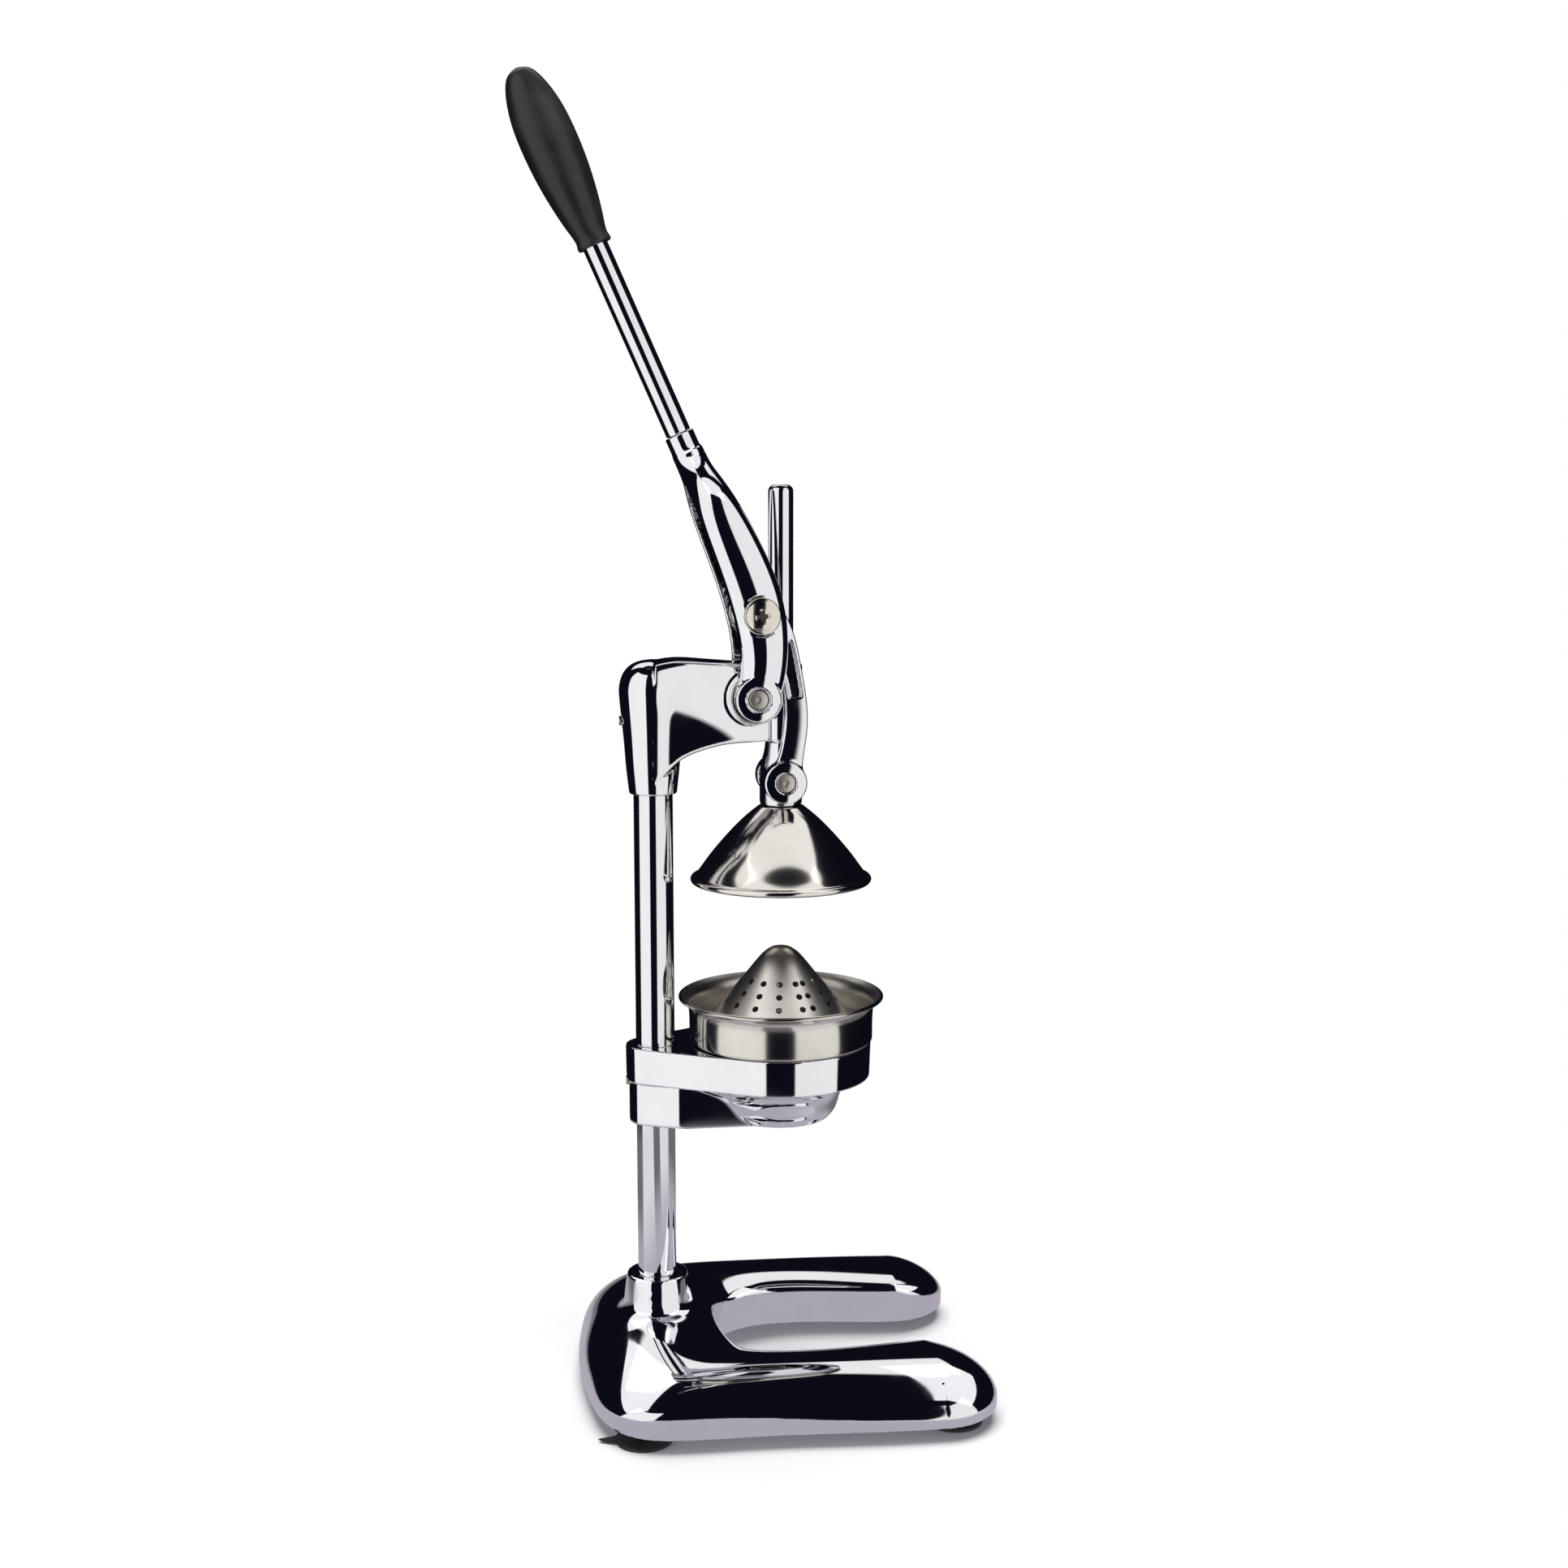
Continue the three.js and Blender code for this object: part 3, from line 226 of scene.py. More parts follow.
# Each panel: from and to across, from and to up, in degrees, its strength, and how many degrees
# its near edge leans aside for each degree up. Across is 0 towards the camera and grows to the
# camera's right.
panels = {
    "left": (-86, -19, -90, 54, 1.0, 0.0),
    "right_front": (18.5, 78, -90, 52, 0.92, 0.3),
    "behind_left": (-180, -128, 37, 66, 0.95, 0.0),
    "behind_right": (130, 180, 46, 72, 0.95, 0.0),
}


def build_studio():
    world = bpy.data.worlds.new("studio")
    bpy.context.scene.world = world
    world.use_nodes = True
    paint = Paint(world.node_tree)
    towards = paint.take(paint.node("TexCoord"), "Generated")
    turn = {"Vector": towards, "Rotation": (0, 0, camera_turn)}
    turned_towards = paint.node("Mapping", turn, vector_type="POINT")
    across, depth, up = paint.split(turned_towards, "XYZ")
    around = paint.around(across, depth)
    height = paint.maths("ARCSINE", up) * (180 / math.pi)
    lit = 0.0
    for left, right, low, high, strength, lean in panels.values():
        leaning = around - paint.maths("MAXIMUM", height, 0.0) * lean
        mask = paint.ramp(leaning, left - panel_edge, left + panel_edge)
        mask = mask * paint.ramp(around, right - panel_edge, right + panel_edge, 1, 0)
        edges = low - panel_edge, low + panel_edge, high - panel_edge, high + panel_edge
        lit = lit + mask * paint.between(height, *edges) * strength
    colour = paint.mix(paint.maths("MINIMUM", lit, 1.0), dark_room, panel_white)
    ray = paint.take(paint.node("LightPath"), "Is Camera Ray")
    background = paint.node("Background", {"Color": paint.mix(ray, colour, white_room)})
    paint.node("OutputWorld", {"Surface": background})


build_studio()
print(len(panels), "panels round the press")

# %% [markdown]
# The floor is a pale disc that fades into the white room, so no horizon shows. In the mirror of
# the chrome it glows as a sheet of paper on a dark table, with its light and shade painted into
# that glow: painted shade in mauve near the press, paler farther out, and painted dark where the
# light doesn't reach it. A wide soft light above gives the contact shadow. It is hidden from
# reflections, so that it doesn't lie across the chrome.

# %% The floor and the top light
floor_radius = 1.6
floor_colour = (0.82, 0.82, 0.83, 1.0)
floor_fade = (0.22, 0.62)
# The paper seen in reflections is a glow with painted light and shade: pale where painted as lit, mauve
# painted shade near the press, and painted dark outside the light round the press
paper_fade = (0.44, 0.54)
paper_shade = (0.14, 0.34)
painted_light_pale = (0.8, 0.785, 0.815, 1.0)
painted_shade_mauve = (0.47, 0.435, 0.5, 1.0)
painted_unlit_dark = (0.1, 0.095, 0.11, 1.0)
paper_dimming = 0.9
# Where light falls on the paper, and the dark gap in that light, in degrees round the press:
# it starts, is full, falls and is gone
lit_floor = (-92, -78, 70, 86)
unlit_gap = (-22, -17, 15, 20)
top_light_size = 1.4
top_light_height = 1.5
top_light_power = 30


def build_floor():
    mesh = bpy.data.meshes.new("floor")
    shape = bmesh.new()
    bmesh.ops.create_circle(shape, cap_ends=True, radius=floor_radius, segments=64)
    shape.to_mesh(mesh)
    shape.free()
    floor = bpy.data.objects.new("floor", mesh)
    bpy.context.scene.collection.objects.link(floor)
    material, paint = new_paint("pale_floor")
    place = paint.place()
    away = paint.take(paint.node("VectorMath", {0: place}, operation="LENGTH"), "Value")
    matte = paint.node("BsdfPrincipled", {
        "Base Color": floor_colour, "Roughness": 0.6, "Specular IOR Level": 0.1,
        "Alpha": paint.ramp(away, *floor_fade, 1, 0),
    })
    # In reflections the paper glows, with painted shade near the press and painted dark outside the lit arc
    # and in its gap
    around = paint.around(*paint.split(place, "XY")) + math.degrees(camera_turn)
    in_light = paint.between(around, *lit_floor) * (1 - paint.between(around, *unlit_gap))
    dimmed = 1 - (1 - in_light) * paint.ramp(away, *paper_shade) * paper_dimming
    paper_colour = paint.mix(paint.ramp(away, *paper_shade), painted_shade_mauve, painted_light_pale)
    glow = paint.node("Emission", {"Color": paint.mix(dimmed, painted_unlit_dark, paper_colour)})
    clear = paint.node("BsdfTransparent")
    paper = paint.node("MixShader", {0: paint.ramp(away, *paper_fade), 1: glow, 2: clear})
    mirrored = paint.take(paint.node("LightPath"), "Is Glossy Ray")
    both = paint.node("MixShader", {0: mirrored, 1: matte, 2: paper})
    paint.node("OutputMaterial", {"Surface": both})
    mesh.materials.append(material)


def build_top_light():
    light = bpy.data.lights.new("top_light", "AREA")
    light.shape = "DISK"
    light.size = top_light_size
    light.energy = top_light_power
    lamp = bpy.data.objects.new("top_light", light)
    lamp.location = (0, 0, top_light_height)
    lamp.visible_glossy = False
    bpy.context.scene.collection.objects.link(lamp)


build_floor()
build_top_light()
# White paper has to come out as plain white, which the Standard view does
bpy.context.scene.view_settings.view_transform = "Standard"
print("floor and top light set")

# %% [markdown]
# The bell and the strainer slope at about 50 degrees, so they mirror what hangs over the table,
# and so do the fork's crown and the base's rounded corners. A photographer hangs a small white
# card for each and flags it off from the rest. Light linking does the flagging here: a card is
# an area light that only the pieces in its own collection receive.

# %% The small cards
corner_depth = 0.09
# Each card: its middle, the point it looks at, its length and width, its strength, and the
# solid whose piece it lights
cards = {
    "over_the_bell": ((press_x, -0.05, 0.69), (press_x, -0.05, 0), (0.62, 0.34), 1.0, "press_bell"),
    "over_the_cone": ((press_x, -0.12, 0.69), (press_x, -0.12, 0), (0.85, 0.5), 1.0, "strainer_cone"),
    "over_the_fork": ((-0.03, -0.2, 0.85), (-0.03, -0.02, 0.52), (0.5, 0.3), 0.95, "lever_fork"),
    "by_the_corner": ((-0.294, 0.077, 0.385), (-0.07, -corner_depth, 0.03), (0.5, 0.34), 1.0, "base_casting"),
    "by_the_tip": ((0.34, -0.064, 0.39), (0.09, -corner_depth, 0.03), (0.46, 0.36), 1.0, "base_casting"),
}
lit_pieces = {}


def build_card(name, middle, target, size, strength, node):
    light = bpy.data.lights.new(name, "AREA")
    light.shape = "RECTANGLE"
    light.size, light.size_y = size
    light.energy = strength * math.pi * size[0] * size[1]
    lamp = bpy.data.objects.new(name, light)
    lamp.location = middle
    lamp.rotation_euler = (Vector(target) - Vector(middle)).to_track_quat("-Z", "Y").to_euler()
    bpy.context.scene.collection.objects.link(lamp)
    pieces = bpy.data.collections.new(name)
    lamp.light_linking.receiver_collection = pieces
    lit_pieces.setdefault(node, []).append(pieces)


for name, card in cards.items():
    build_card(name, *card)
print(len(cards), "small cards hung")

# %% [markdown]
# Chrome isn't perfectly even: a polished casting carries a faint long ripple from the wheel,
# its gloss is broken by the finest wiping marks, and it is a shade cooler than steel. Two
# noises give that, one long for the ripple and one short for the marks.

# %% A metal finish
chrome_pale = (0.86, 0.87, 0.89, 1)
chrome_deep = (0.82, 0.83, 0.86, 1)
chrome_gloss = 0.025
ripple_depth = 0.4 * MM


def finish_paint(paint, **values):
    shader = paint.node("BsdfPrincipled", {name.replace("_", " "): v for name, v in values.items()})
    paint.node("OutputMaterial", {"Surface": shader})


def bump(paint, height, strength, distance):
    return paint.node("Bump", {"Height": height, "Strength": strength, "Distance": distance})


def make_chrome():
    material, paint = new_paint("chrome")
    place = paint.place()
    ripple = paint.noise(place, 26, 1.0)
    wiped = paint.noise(place, 900, 3.0, 0.65)
    cloud = paint.noise(place, 60, 3.0)
    dull = paint.ramp(cloud, 0.45, 0.75) * 0.03 + wiped * 0.02
    finish_paint(
        paint,
        Base_Color=paint.mix(paint.ramp(cloud, 0.3, 0.8), chrome_pale, chrome_deep),
        Metallic=1.0,
        Roughness=dull + chrome_gloss,
        Normal=bump(paint, ripple, 0.12, ripple_depth),
    )
    return material


paints = {"chrome": make_chrome()}
print("chrome is mixed")

# %% [markdown]
# Spun sheet steel keeps fine rings from the lathe. They follow the sheet's own profile, so each
# turned piece carries an attribute called `along`: how many millimetres of profile lie between
# the point and the start. A noise on that one number gives rings that never slide or smear.
# Faces that were brushed after spinning, the cup's inside and the cone, are duller than the
# rest. They carry a 1 in an attribute called `brushed`, and the rest has none, which reads as 0.

# %% Spun and turned metal
brushed_gloss = 0.19
ring_depth = 0.02 * MM
# Each metal: its colour, the colour of its faint clouds, its gloss, and how fine its rings are
spun_metals = {
    "polished_steel": ((0.8, 0.77, 0.72, 1), (0.74, 0.7, 0.64, 1), 0.05, 1.6),
    "satin_steel": ((0.74, 0.71, 0.66, 1), (0.66, 0.63, 0.58, 1), 0.07, 2.6),
    "nickel": ((0.78, 0.73, 0.66, 1), (0.68, 0.63, 0.57, 1), 0.06, 3.2),
}


def mark(piece, name, values):
    piece.data.attributes.new(name, "FLOAT", "POINT").data.foreach_set("value", values)


def make_spun(name, colour, clouded, gloss, rings):
    material, paint = new_paint(name)
    line = paint.take(paint.node("CombineXYZ", {"X": paint.attribute("along")}))
    fine = paint.noise(line, rings, 3.0, 0.7)
    broad = paint.noise(line, rings / 9, 2.0)
    cloud = paint.noise(paint.place(), 45, 3.0)
    brushed = paint.attribute("brushed")
    finish_paint(
        paint,
        Base_Color=paint.mix(paint.ramp(cloud, 0.35, 0.75), colour, clouded),
        Metallic=1.0,
        Roughness=gloss + fine * 0.09 + cloud * 0.04 + brushed * brushed_gloss,
        Normal=bump(paint, fine * 0.6 + broad * 0.4, 0.25, ring_depth),
    )
    return material


for name, look in spun_metals.items():
    paints[name] = make_spun(name, *look)
print(len(spun_metals), "turned metals")

# %% [markdown]
# The grip is a thermoset moulding: nearly black, with the light soft sheen of a fine-blasted
# mould and faint worn patches, spread by a noise, that are a shade paler and a little rougher. The
# feet are soft rubber, which is matte and holds a little dust in patches.

# %% Black plastic and rubber
plastic_black = (0.012, 0.012, 0.013, 1)
plastic_worn = (0.02, 0.02, 0.021, 1)
plastic_grain_depth = 0.05 * MM
rubber_black = (0.01, 0.01, 0.011, 1)
rubber_dusty = (0.035, 0.034, 0.033, 1)
rubber_grain_depth = 0.08 * MM


def make_plastic():
    material, paint = new_paint("black_plastic")
    place = paint.place()
    grain = paint.noise(place, 1500, 2.0, 0.6)
    worn = paint.noise(place, 38, 3.0)
    finish_paint(
        paint,
        Base_Color=paint.mix(paint.ramp(worn, 0.4, 0.7), plastic_black, plastic_worn),
        Roughness=paint.ramp(worn, 0.35, 0.7, 0.3, 0.4) + grain * 0.05,
        Normal=bump(paint, grain, 0.3, plastic_grain_depth),
    )
    return material


def make_rubber():
    material, paint = new_paint("black_rubber")
    place = paint.place()
    grain = paint.noise(place, 900, 3.0, 0.7)
    dust = paint.ramp(paint.noise(place, 120, 4.0, 0.7), 0.5, 0.75)
    finish_paint(
        paint,
        Base_Color=paint.mix(dust, rubber_black, rubber_dusty),
        Roughness=dust * 0.2 + 0.5,
        Normal=bump(paint, grain, 0.35, rubber_grain_depth),
    )
    return material


paints["black_plastic"] = make_plastic()
paints["black_rubber"] = make_rubber()
print("six finishes:", ", ".join(paints))

# %% [markdown]
# Every solid gets its finish at once, by the slot that the record gives it. Pieces made later
# hide the solids they stand for, and what nothing replaces is finished already.

# %% Finish every solid
slot_of = {part["node"]: part["material_slot"] for part in frame["record"]["subparts"]}
bodies = frame["record"]["behaviour"]["bodies"]
body_of = {node: body for body, nodes in bodies.items() for node in nodes}
for name, node in frame["nodes"].items():
    node.data.materials.clear()
    node.data.materials.append(paints[slot_of[name]])
print(len(frame["nodes"]), "solids finished")

# %% [markdown]
# A turned piece is one profile swept round an axis. Real ones have no sharp corners, so
# `soften` rounds each corner of the profile first, and `smooth_line` runs a natural cubic
# through points where the real outline flows. Outlines are kept as shares of a piece's own size,
# so that they fit the solid whatever it measures, and `spread` turns the shares to lengths.

# %% Profiles
def spread(shares, first, second):
    """Turn pairs of shares to lengths. Each direction is where it starts and how long it is."""
    return [(first[0] + one * first[1], second[0] + other * second[1]) for one, other in shares]


def arc(middle, radius, start, end, count):
    turns = np.linspace(start, end, count)
    return [(middle[0] + radius * math.cos(turn), middle[1] + radius * math.sin(turn)) for turn in turns]


def soften(points, round_by, corner_steps=4):
    points = [np.array(point, float) for point in points]
    softened = [points[0]]
    for before, corner, after in zip(points, points[1:], points[2:]):
        back, ahead_of = before - corner, after - corner
        reach = min(round_by, 0.49 * np.linalg.norm(back), 0.49 * np.linalg.norm(ahead_of))
        start = corner + back / np.linalg.norm(back) * reach
        end = corner + ahead_of / np.linalg.norm(ahead_of) * reach
        for share in np.linspace(0, 1, corner_steps + 1):
            softened.append((1 - share) ** 2 * start + 2 * share * (1 - share) * corner + share**2 * end)
    softened.append(points[-1])
    return softened


def smooth_line(points, count):
    points = np.array(points, float)
    gaps = np.sqrt(np.linalg.norm(np.diff(points, axis=0), axis=1))
    at = np.concatenate([[0], np.cumsum(gaps)])
    size = len(points)
    rows, sides = np.eye(size), np.zeros(points.shape)
    for i in range(1, size - 1):
        rows[i, i - 1:i + 2] = gaps[i - 1], 2 * (gaps[i - 1] + gaps[i]), gaps[i]
        sides[i] = 6 * ((points[i + 1] - points[i]) / gaps[i] - (points[i] - points[i - 1]) / gaps[i - 1])
    bends = np.linalg.solve(rows, sides)
    where = np.linspace(0, at[-1], count)
    spans = np.clip(np.searchsorted(at, where, side="right") - 1, 0, size - 2)
    left, right = (at[spans + 1] - where)[:, None], (where - at[spans])[:, None]
    gap = gaps[spans][:, None]
    return (
        (bends[spans] * left**3 + bends[spans + 1] * right**3) / (6 * gap)
        + (points[spans] / gap - bends[spans] * gap / 6) * left
        + (points[spans + 1] / gap - bends[spans + 1] * gap / 6) * right
    )


print("profile helpers ready")

# %% [markdown]
# `revolve` sweeps a profile round an axis and records the `along` attribute on the way. The
# axis is given as a matrix, because the press has upright pieces, cross pins and a leaning
# handle. `dress` then hands the piece to the frame: body, slot and the solids it replaces.

# %% Turned pieces
def new_piece(name, verts, faces):
    mesh = bpy.data.meshes.new(name)
    mesh.from_pydata([tuple(v) for v in verts], [], [tuple(f) for f in faces])
    piece = bpy.data.objects.new(name, mesh)
    bpy.context.scene.collection.objects.link(piece)
    return piece


def point_faces_out(piece, weld=None):
    shape = bmesh.new()
    shape.from_mesh(piece.data)
    if weld:
        bmesh.ops.remove_doubles(shape, verts=shape.verts, dist=weld)
        bmesh.ops.dissolve_degenerate(shape, edges=shape.edges, dist=weld)
    bmesh.ops.recalc_face_normals(shape, faces=shape.faces)
    shape.to_mesh(piece.data)
    shape.free()


def shade(piece, corner_degrees=35):
    piece.data.shade_smooth()
    piece.data.set_sharp_from_angle(angle=math.radians(corner_degrees))


def dress(piece, *nodes):
    slot = slot_of[nodes[0]]
    piece.data.materials.clear()
    piece.data.materials.append(paints[slot])
    for pieces in lit_pieces.get(nodes[0], []):
        pieces.objects.link(piece)
    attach(piece, body_of[nodes[0]])
    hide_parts(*nodes)
    print(f"{piece.name}: {len(piece.data.polygons)} faces")


def axis_at(x, y=0.0):
    return Matrix.Translation((x, y, 0))


def cross_axis(place, side=1):
    return Matrix.Translation((place.x, 0, place.z)) @ Matrix.Rotation(-side * math.pi / 2, 4, "X")


def faces_between(low, high, sides):
    """The faces that join two rings of points. A ring may also be a single point."""
    faces = []
    for step in range(sides):
        after = (step + 1) % sides
        corners = [low[step % len(low)], low[after % len(low)]]
        corners += [high[after % len(high)], high[step % len(high)]]
        corners = list(dict.fromkeys(corners))
        if len(corners) > 2:
            faces.append(corners)
    return faces


def revolve(name, profile, place, turn_steps=96, closed=False):
    profile = [(float(r), float(h)) for r, h in profile]
    lengths = np.linalg.norm(np.diff(np.array(profile), axis=0), axis=1)
    along_profile = np.concatenate([[0], np.cumsum(lengths)]) / MM
    verts, along, rings = [], [], []
    for (radius, height), distance in zip(profile, along_profile):
        count = turn_steps if radius > 1e-7 else 1
        rings.append(range(len(verts), len(verts) + count))
        for step in range(count):
            angle = 2 * math.pi * step / turn_steps
            verts.append(place @ Vector((radius * math.cos(angle), radius * math.sin(angle), height)))
            along.append(distance)
    pairs = list(zip(rings, rings[1:])) + ([(rings[-1], rings[0])] if closed else [])
    faces = [face for low, high in pairs for face in faces_between(low, high, turn_steps)]
    piece = new_piece(name, verts, faces)
    mark(piece, "along", along)
    point_faces_out(piece)
    shade(piece)
    return piece


print("revolve ready")

# %% [markdown]
# The column is a ground and plated bar with a small chamfer at each end. Its sizes come from
# the solid's box, and only the softness of the chamfer is added here.

# %% The column
edge_round = 0.8 * MM


def build_column():
    low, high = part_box("column")
    radius = half_of("column").y
    profile = soften([(0, low.z), (radius, low.z), (radius, high.z), (0, high.z)], edge_round)
    dress(revolve("column_bar", profile, axis_at(column_x)), "column")


build_column()

# %% [markdown]
# The press rod slides in the head, so it is the brightest piece of all. Its top edge is rounded
# far more than its foot, and its thinner stud runs down through the bell to the nut.

# %% The press rod
rod_crown = 3.6 * MM
rod_stud_radius = 5 * MM
rod_shoulder_rise = 11.2 * MM


def build_press_rod():
    low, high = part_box("plunger_rod")
    radius = half_of("plunger_rod").y
    shoulder = low.z + rod_shoulder_rise
    stem = soften([
        (0, low.z), (rod_stud_radius, low.z), (rod_stud_radius, shoulder), (radius, shoulder),
    ], edge_round)
    crown = arc((radius - rod_crown, high.z - rod_crown), rod_crown, 0, math.pi / 2, 10)
    dress(revolve("press_rod", [*stem, *crown, (0, high.z)], axis_at(press_x)), "plunger_rod")


build_press_rod()

# %% [markdown]
# Sheet pieces have a wall. `sheet_profile` takes one face of the sheet and returns the closed
# outline of the metal, by stepping one wall to the left of the way the points go.

# %% Sheet metal profiles
def sheet_profile(points, wall):
    points = np.array(points, float)
    steps_along = np.diff(points, axis=0)
    steps_along /= np.linalg.norm(steps_along, axis=1)[:, None]
    before = np.vstack([steps_along[:1], steps_along])
    after = np.vstack([steps_along, steps_along[-1:]])
    normals = np.column_stack([-(before + after)[:, 1], (before + after)[:, 0]])
    normals /= np.linalg.norm(normals, axis=1)[:, None]
    inner = points + normals * wall
    return [*points, *inner[::-1]]


print("sheet helper ready")

# %% [markdown]
# The bell is spun from sheet: a small flat crown, a long flowing flank and a rim that turns
# outwards into a rolled bead. The flank is a natural cubic through a few shares of the bell's
# own radius and height, so it has no kink for the polish to betray.

# %% The press bell
bell_wall = 1.3 * MM
bell_bead = 1.9 * MM
bell_crown_radius = 11.5 * MM
bell_bore = 5.3 * MM
bell_bead_turn = (-1.25 * math.pi, 0.45 * math.pi)
bell_lip_share = (0.948, 0.094)
bell_flank_shares = [
    (0.94, 0.104), (0.895, 0.171), (0.8, 0.324), (0.661, 0.523), (0.525, 0.698), (0.379, 0.863),
]
sheet_turn_steps = 160


def build_bell():
    low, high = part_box("press_bell")
    radius, height = half_of("press_bell").y, high.z - low.z
    lip_point, *flank = spread([bell_lip_share, *bell_flank_shares], (0, radius), (low.z, height))
    flank.append((bell_crown_radius + bell_wall, high.z - bell_wall / 2))
    flank = smooth_line(flank, 48)
    crown = soften([flank[-1], (bell_crown_radius - bell_wall, high.z), (bell_bore, high.z)], bell_wall)
    bead = arc((radius - bell_bead, low.z + bell_bead), bell_bead, *bell_bead_turn, 22)
    lip = soften([bead[-1], lip_point, flank[0]], bell_wall)
    wall = sheet_profile([*lip[1:], *flank[1:], *crown[1:]], bell_wall)
    dress(revolve("bell", [*bead, *wall], axis_at(press_x), sheet_turn_steps, closed=True), "press_bell")


build_bell()

# %% [markdown]
# The juice cup is thinner sheet. From the outlet up it has a straight spout, a funnel, a step
# that fits inside the holder's ring, a ledge that rests on the ring, and a flared bowl whose rim
# is dressed round. The ledge is what carries it, so its height is the solid's.

# %% The juice cup
cup_wall = 1.2 * MM
cup_spout_radius = 12 * MM
cup_spout_length = 6.8 * MM
cup_funnel_drop = 19.7 * MM
cup_funnel_corner = 4 * MM
cup_step_radius = 45.9 * MM
cup_shoulder_radius = 52.4 * MM
cup_rise = 26 * MM
cup_bowl_shares = [
    (0, 0.12), (0.01, 0.4), (0.05, 0.64), (0.15, 0.78), (0.38, 0.88), (0.69, 0.945), (0.89, 0.98),
]
cup_bead = 0.9 * MM
cup_bead_turn = (-0.35 * math.pi, 0.8 * math.pi)


def build_cup():
    low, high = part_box("juice_cup")
    rim = half_of("juice_cup").y
    ledge = high.z - cup_rise
    funnel_foot = low.z + cup_spout_length
    funnel_top = funnel_foot + cup_funnel_drop
    flare = (cup_shoulder_radius, rim - cup_shoulder_radius)
    bowl = spread(cup_bowl_shares, flare, (ledge, cup_rise))
    stem = soften([
        (cup_spout_radius, low.z), (cup_spout_radius, funnel_foot), (cup_step_radius, funnel_top),
        (cup_step_radius, ledge), (cup_shoulder_radius, ledge), bowl[0],
    ], cup_funnel_corner)
    wall = sheet_profile([*stem[:-1], *smooth_line(bowl, 36)], cup_wall)
    half = len(wall) // 2
    bead = arc((rim - cup_bead, high.z - cup_bead), cup_bead, *cup_bead_turn, 14)
    outline = [*wall[:half - 1], *bead, *wall[half + 1:]]
    cup = revolve("cup", outline, axis_at(press_x), sheet_turn_steps, closed=True)
    inside = np.arange(len(outline)) >= half - 1 + len(bead)
    mark(cup, "brushed", np.repeat(inside, sheet_turn_steps).astype(float))
    dress(cup, "juice_cup")


build_cup()

# %% [markdown]
# The handle leans back with the lever, so its axis is a turned matrix, which starts at the foot
# of the fork's socket. Lengths along the handle are counted from there. The rod is chromed, and
# a thinner stud at its foot is screwed into the socket.

# %% The handle rod
handle_lean = math.radians(24)
fork_reach = 32.9
fork_height = 127.3
socket_foot = Vector((pivot.x - fork_reach * MM, 0, pivot.z + fork_height * MM))
handle_axis = Matrix.Translation(socket_foot) @ Matrix.Rotation(-handle_lean, 4, "Y")

socket_length = 18.3 * MM
handle_gap = 0.3 * MM
handle_radius = 7 * MM
handle_length = 185.3 * MM
handle_stud_radius = 5 * MM
handle_stud_length = 20 * MM


def build_handle_rod():
    stud_foot, foot = socket_length - handle_stud_length, socket_length + handle_gap
    top = socket_length + handle_length
    profile = soften([
        (0, stud_foot), (handle_stud_radius, stud_foot), (handle_stud_radius, foot),
        (handle_radius, foot), (handle_radius, top), (0, top),
    ], edge_round)
    dress(revolve("handle_bar", profile, handle_axis), "handle_rod")


build_handle_rod()

# %% [markdown]
# The grip is moulded over the rod's upper half: a flared lip at its foot keeps the hand from
# sliding off, then a full belly fills the palm, and the end is round. All of it is one outline
# with the bore inside, so one revolve makes the whole sleeve.

# %% The grip
grip_start = 127.3 * MM
grip_length = 100 * MM
grip_end_gap = 0.3 * MM
grip_radius = 15.5 * MM
grip_bore = 7.3 * MM
grip_foot_share = 0.61
grip_foot_round = 1.2 * MM
grip_shares = [
    (0.619, 0.02), (0.586, 0.05), (0.684, 0.13), (0.839, 0.26), (0.955, 0.41), (1, 0.56),
    (0.968, 0.71), (0.839, 0.83), (0.645, 0.92), (0.4, 0.975), (0, 1),
]


def build_grip():
    top = grip_start + grip_length - grip_end_gap
    skin = smooth_line(spread(grip_shares, (0, grip_radius), (grip_start, grip_length - grip_end_gap)), 70)
    foot = [(grip_bore, grip_start), (grip_foot_share * grip_radius, grip_start), skin[0]]
    bore_end = socket_length + handle_length + handle_gap
    inside = [(0, bore_end), (grip_bore, bore_end)]
    profile = [*inside, *soften(foot, grip_foot_round), *skin[1:-1], (0, top)]
    dress(revolve("grip_sleeve", profile, handle_axis, turn_steps=112), "grip")


build_grip()

# %% [markdown]
# The castings are soft everywhere: arms flow into sleeves and every edge is round. Such a form
# is easiest to write as a field, a number for each point of space that is negative in the metal
# and grows outwards. Two forms are joined by a smooth minimum, whose width is the fillet, and a
# bore is taken out by a smooth maximum, whose width is the round of its edge.

# %% Fields, joined and cut with a fillet
def joined(one, other, fillet):
    overlap = np.clip(fillet - np.abs(one - other), 0, None)
    return np.minimum(one, other) - overlap**3 / (6 * fillet * fillet)


def within(one, other, fillet):
    return -joined(-one, -other, fillet)


def without(body, tool, fillet):
    return within(body, -tool, fillet)


def rod(one, other, middle, radius):
    """A round rod, in the two directions across it."""
    return np.sqrt((one - middle[0]) ** 2 + (other - middle[1]) ** 2) - radius


def slab(at, low, high):
    return np.maximum(at - high, low - at)


def line_through(pairs, count=600):
    fine = smooth_line(pairs, count)
    order = np.argsort(fine[:, 0])
    return fine[order, 0], fine[order, 1]


def read_line(line, at):
    return np.interp(at, *line)


print("field helpers ready")

# %% [markdown]
# A field becomes a mesh in three steps. The space is cut into small cubes, and each cube that
# the surface crosses gets one point. Points of neighbouring cubes make a face. Then each point
# walks down the field's slope until it lies on the surface, and the slope itself is kept as the
# normal, so the polish shows no facet. All lengths in a field are millimetres from the press
# axis and the floor.

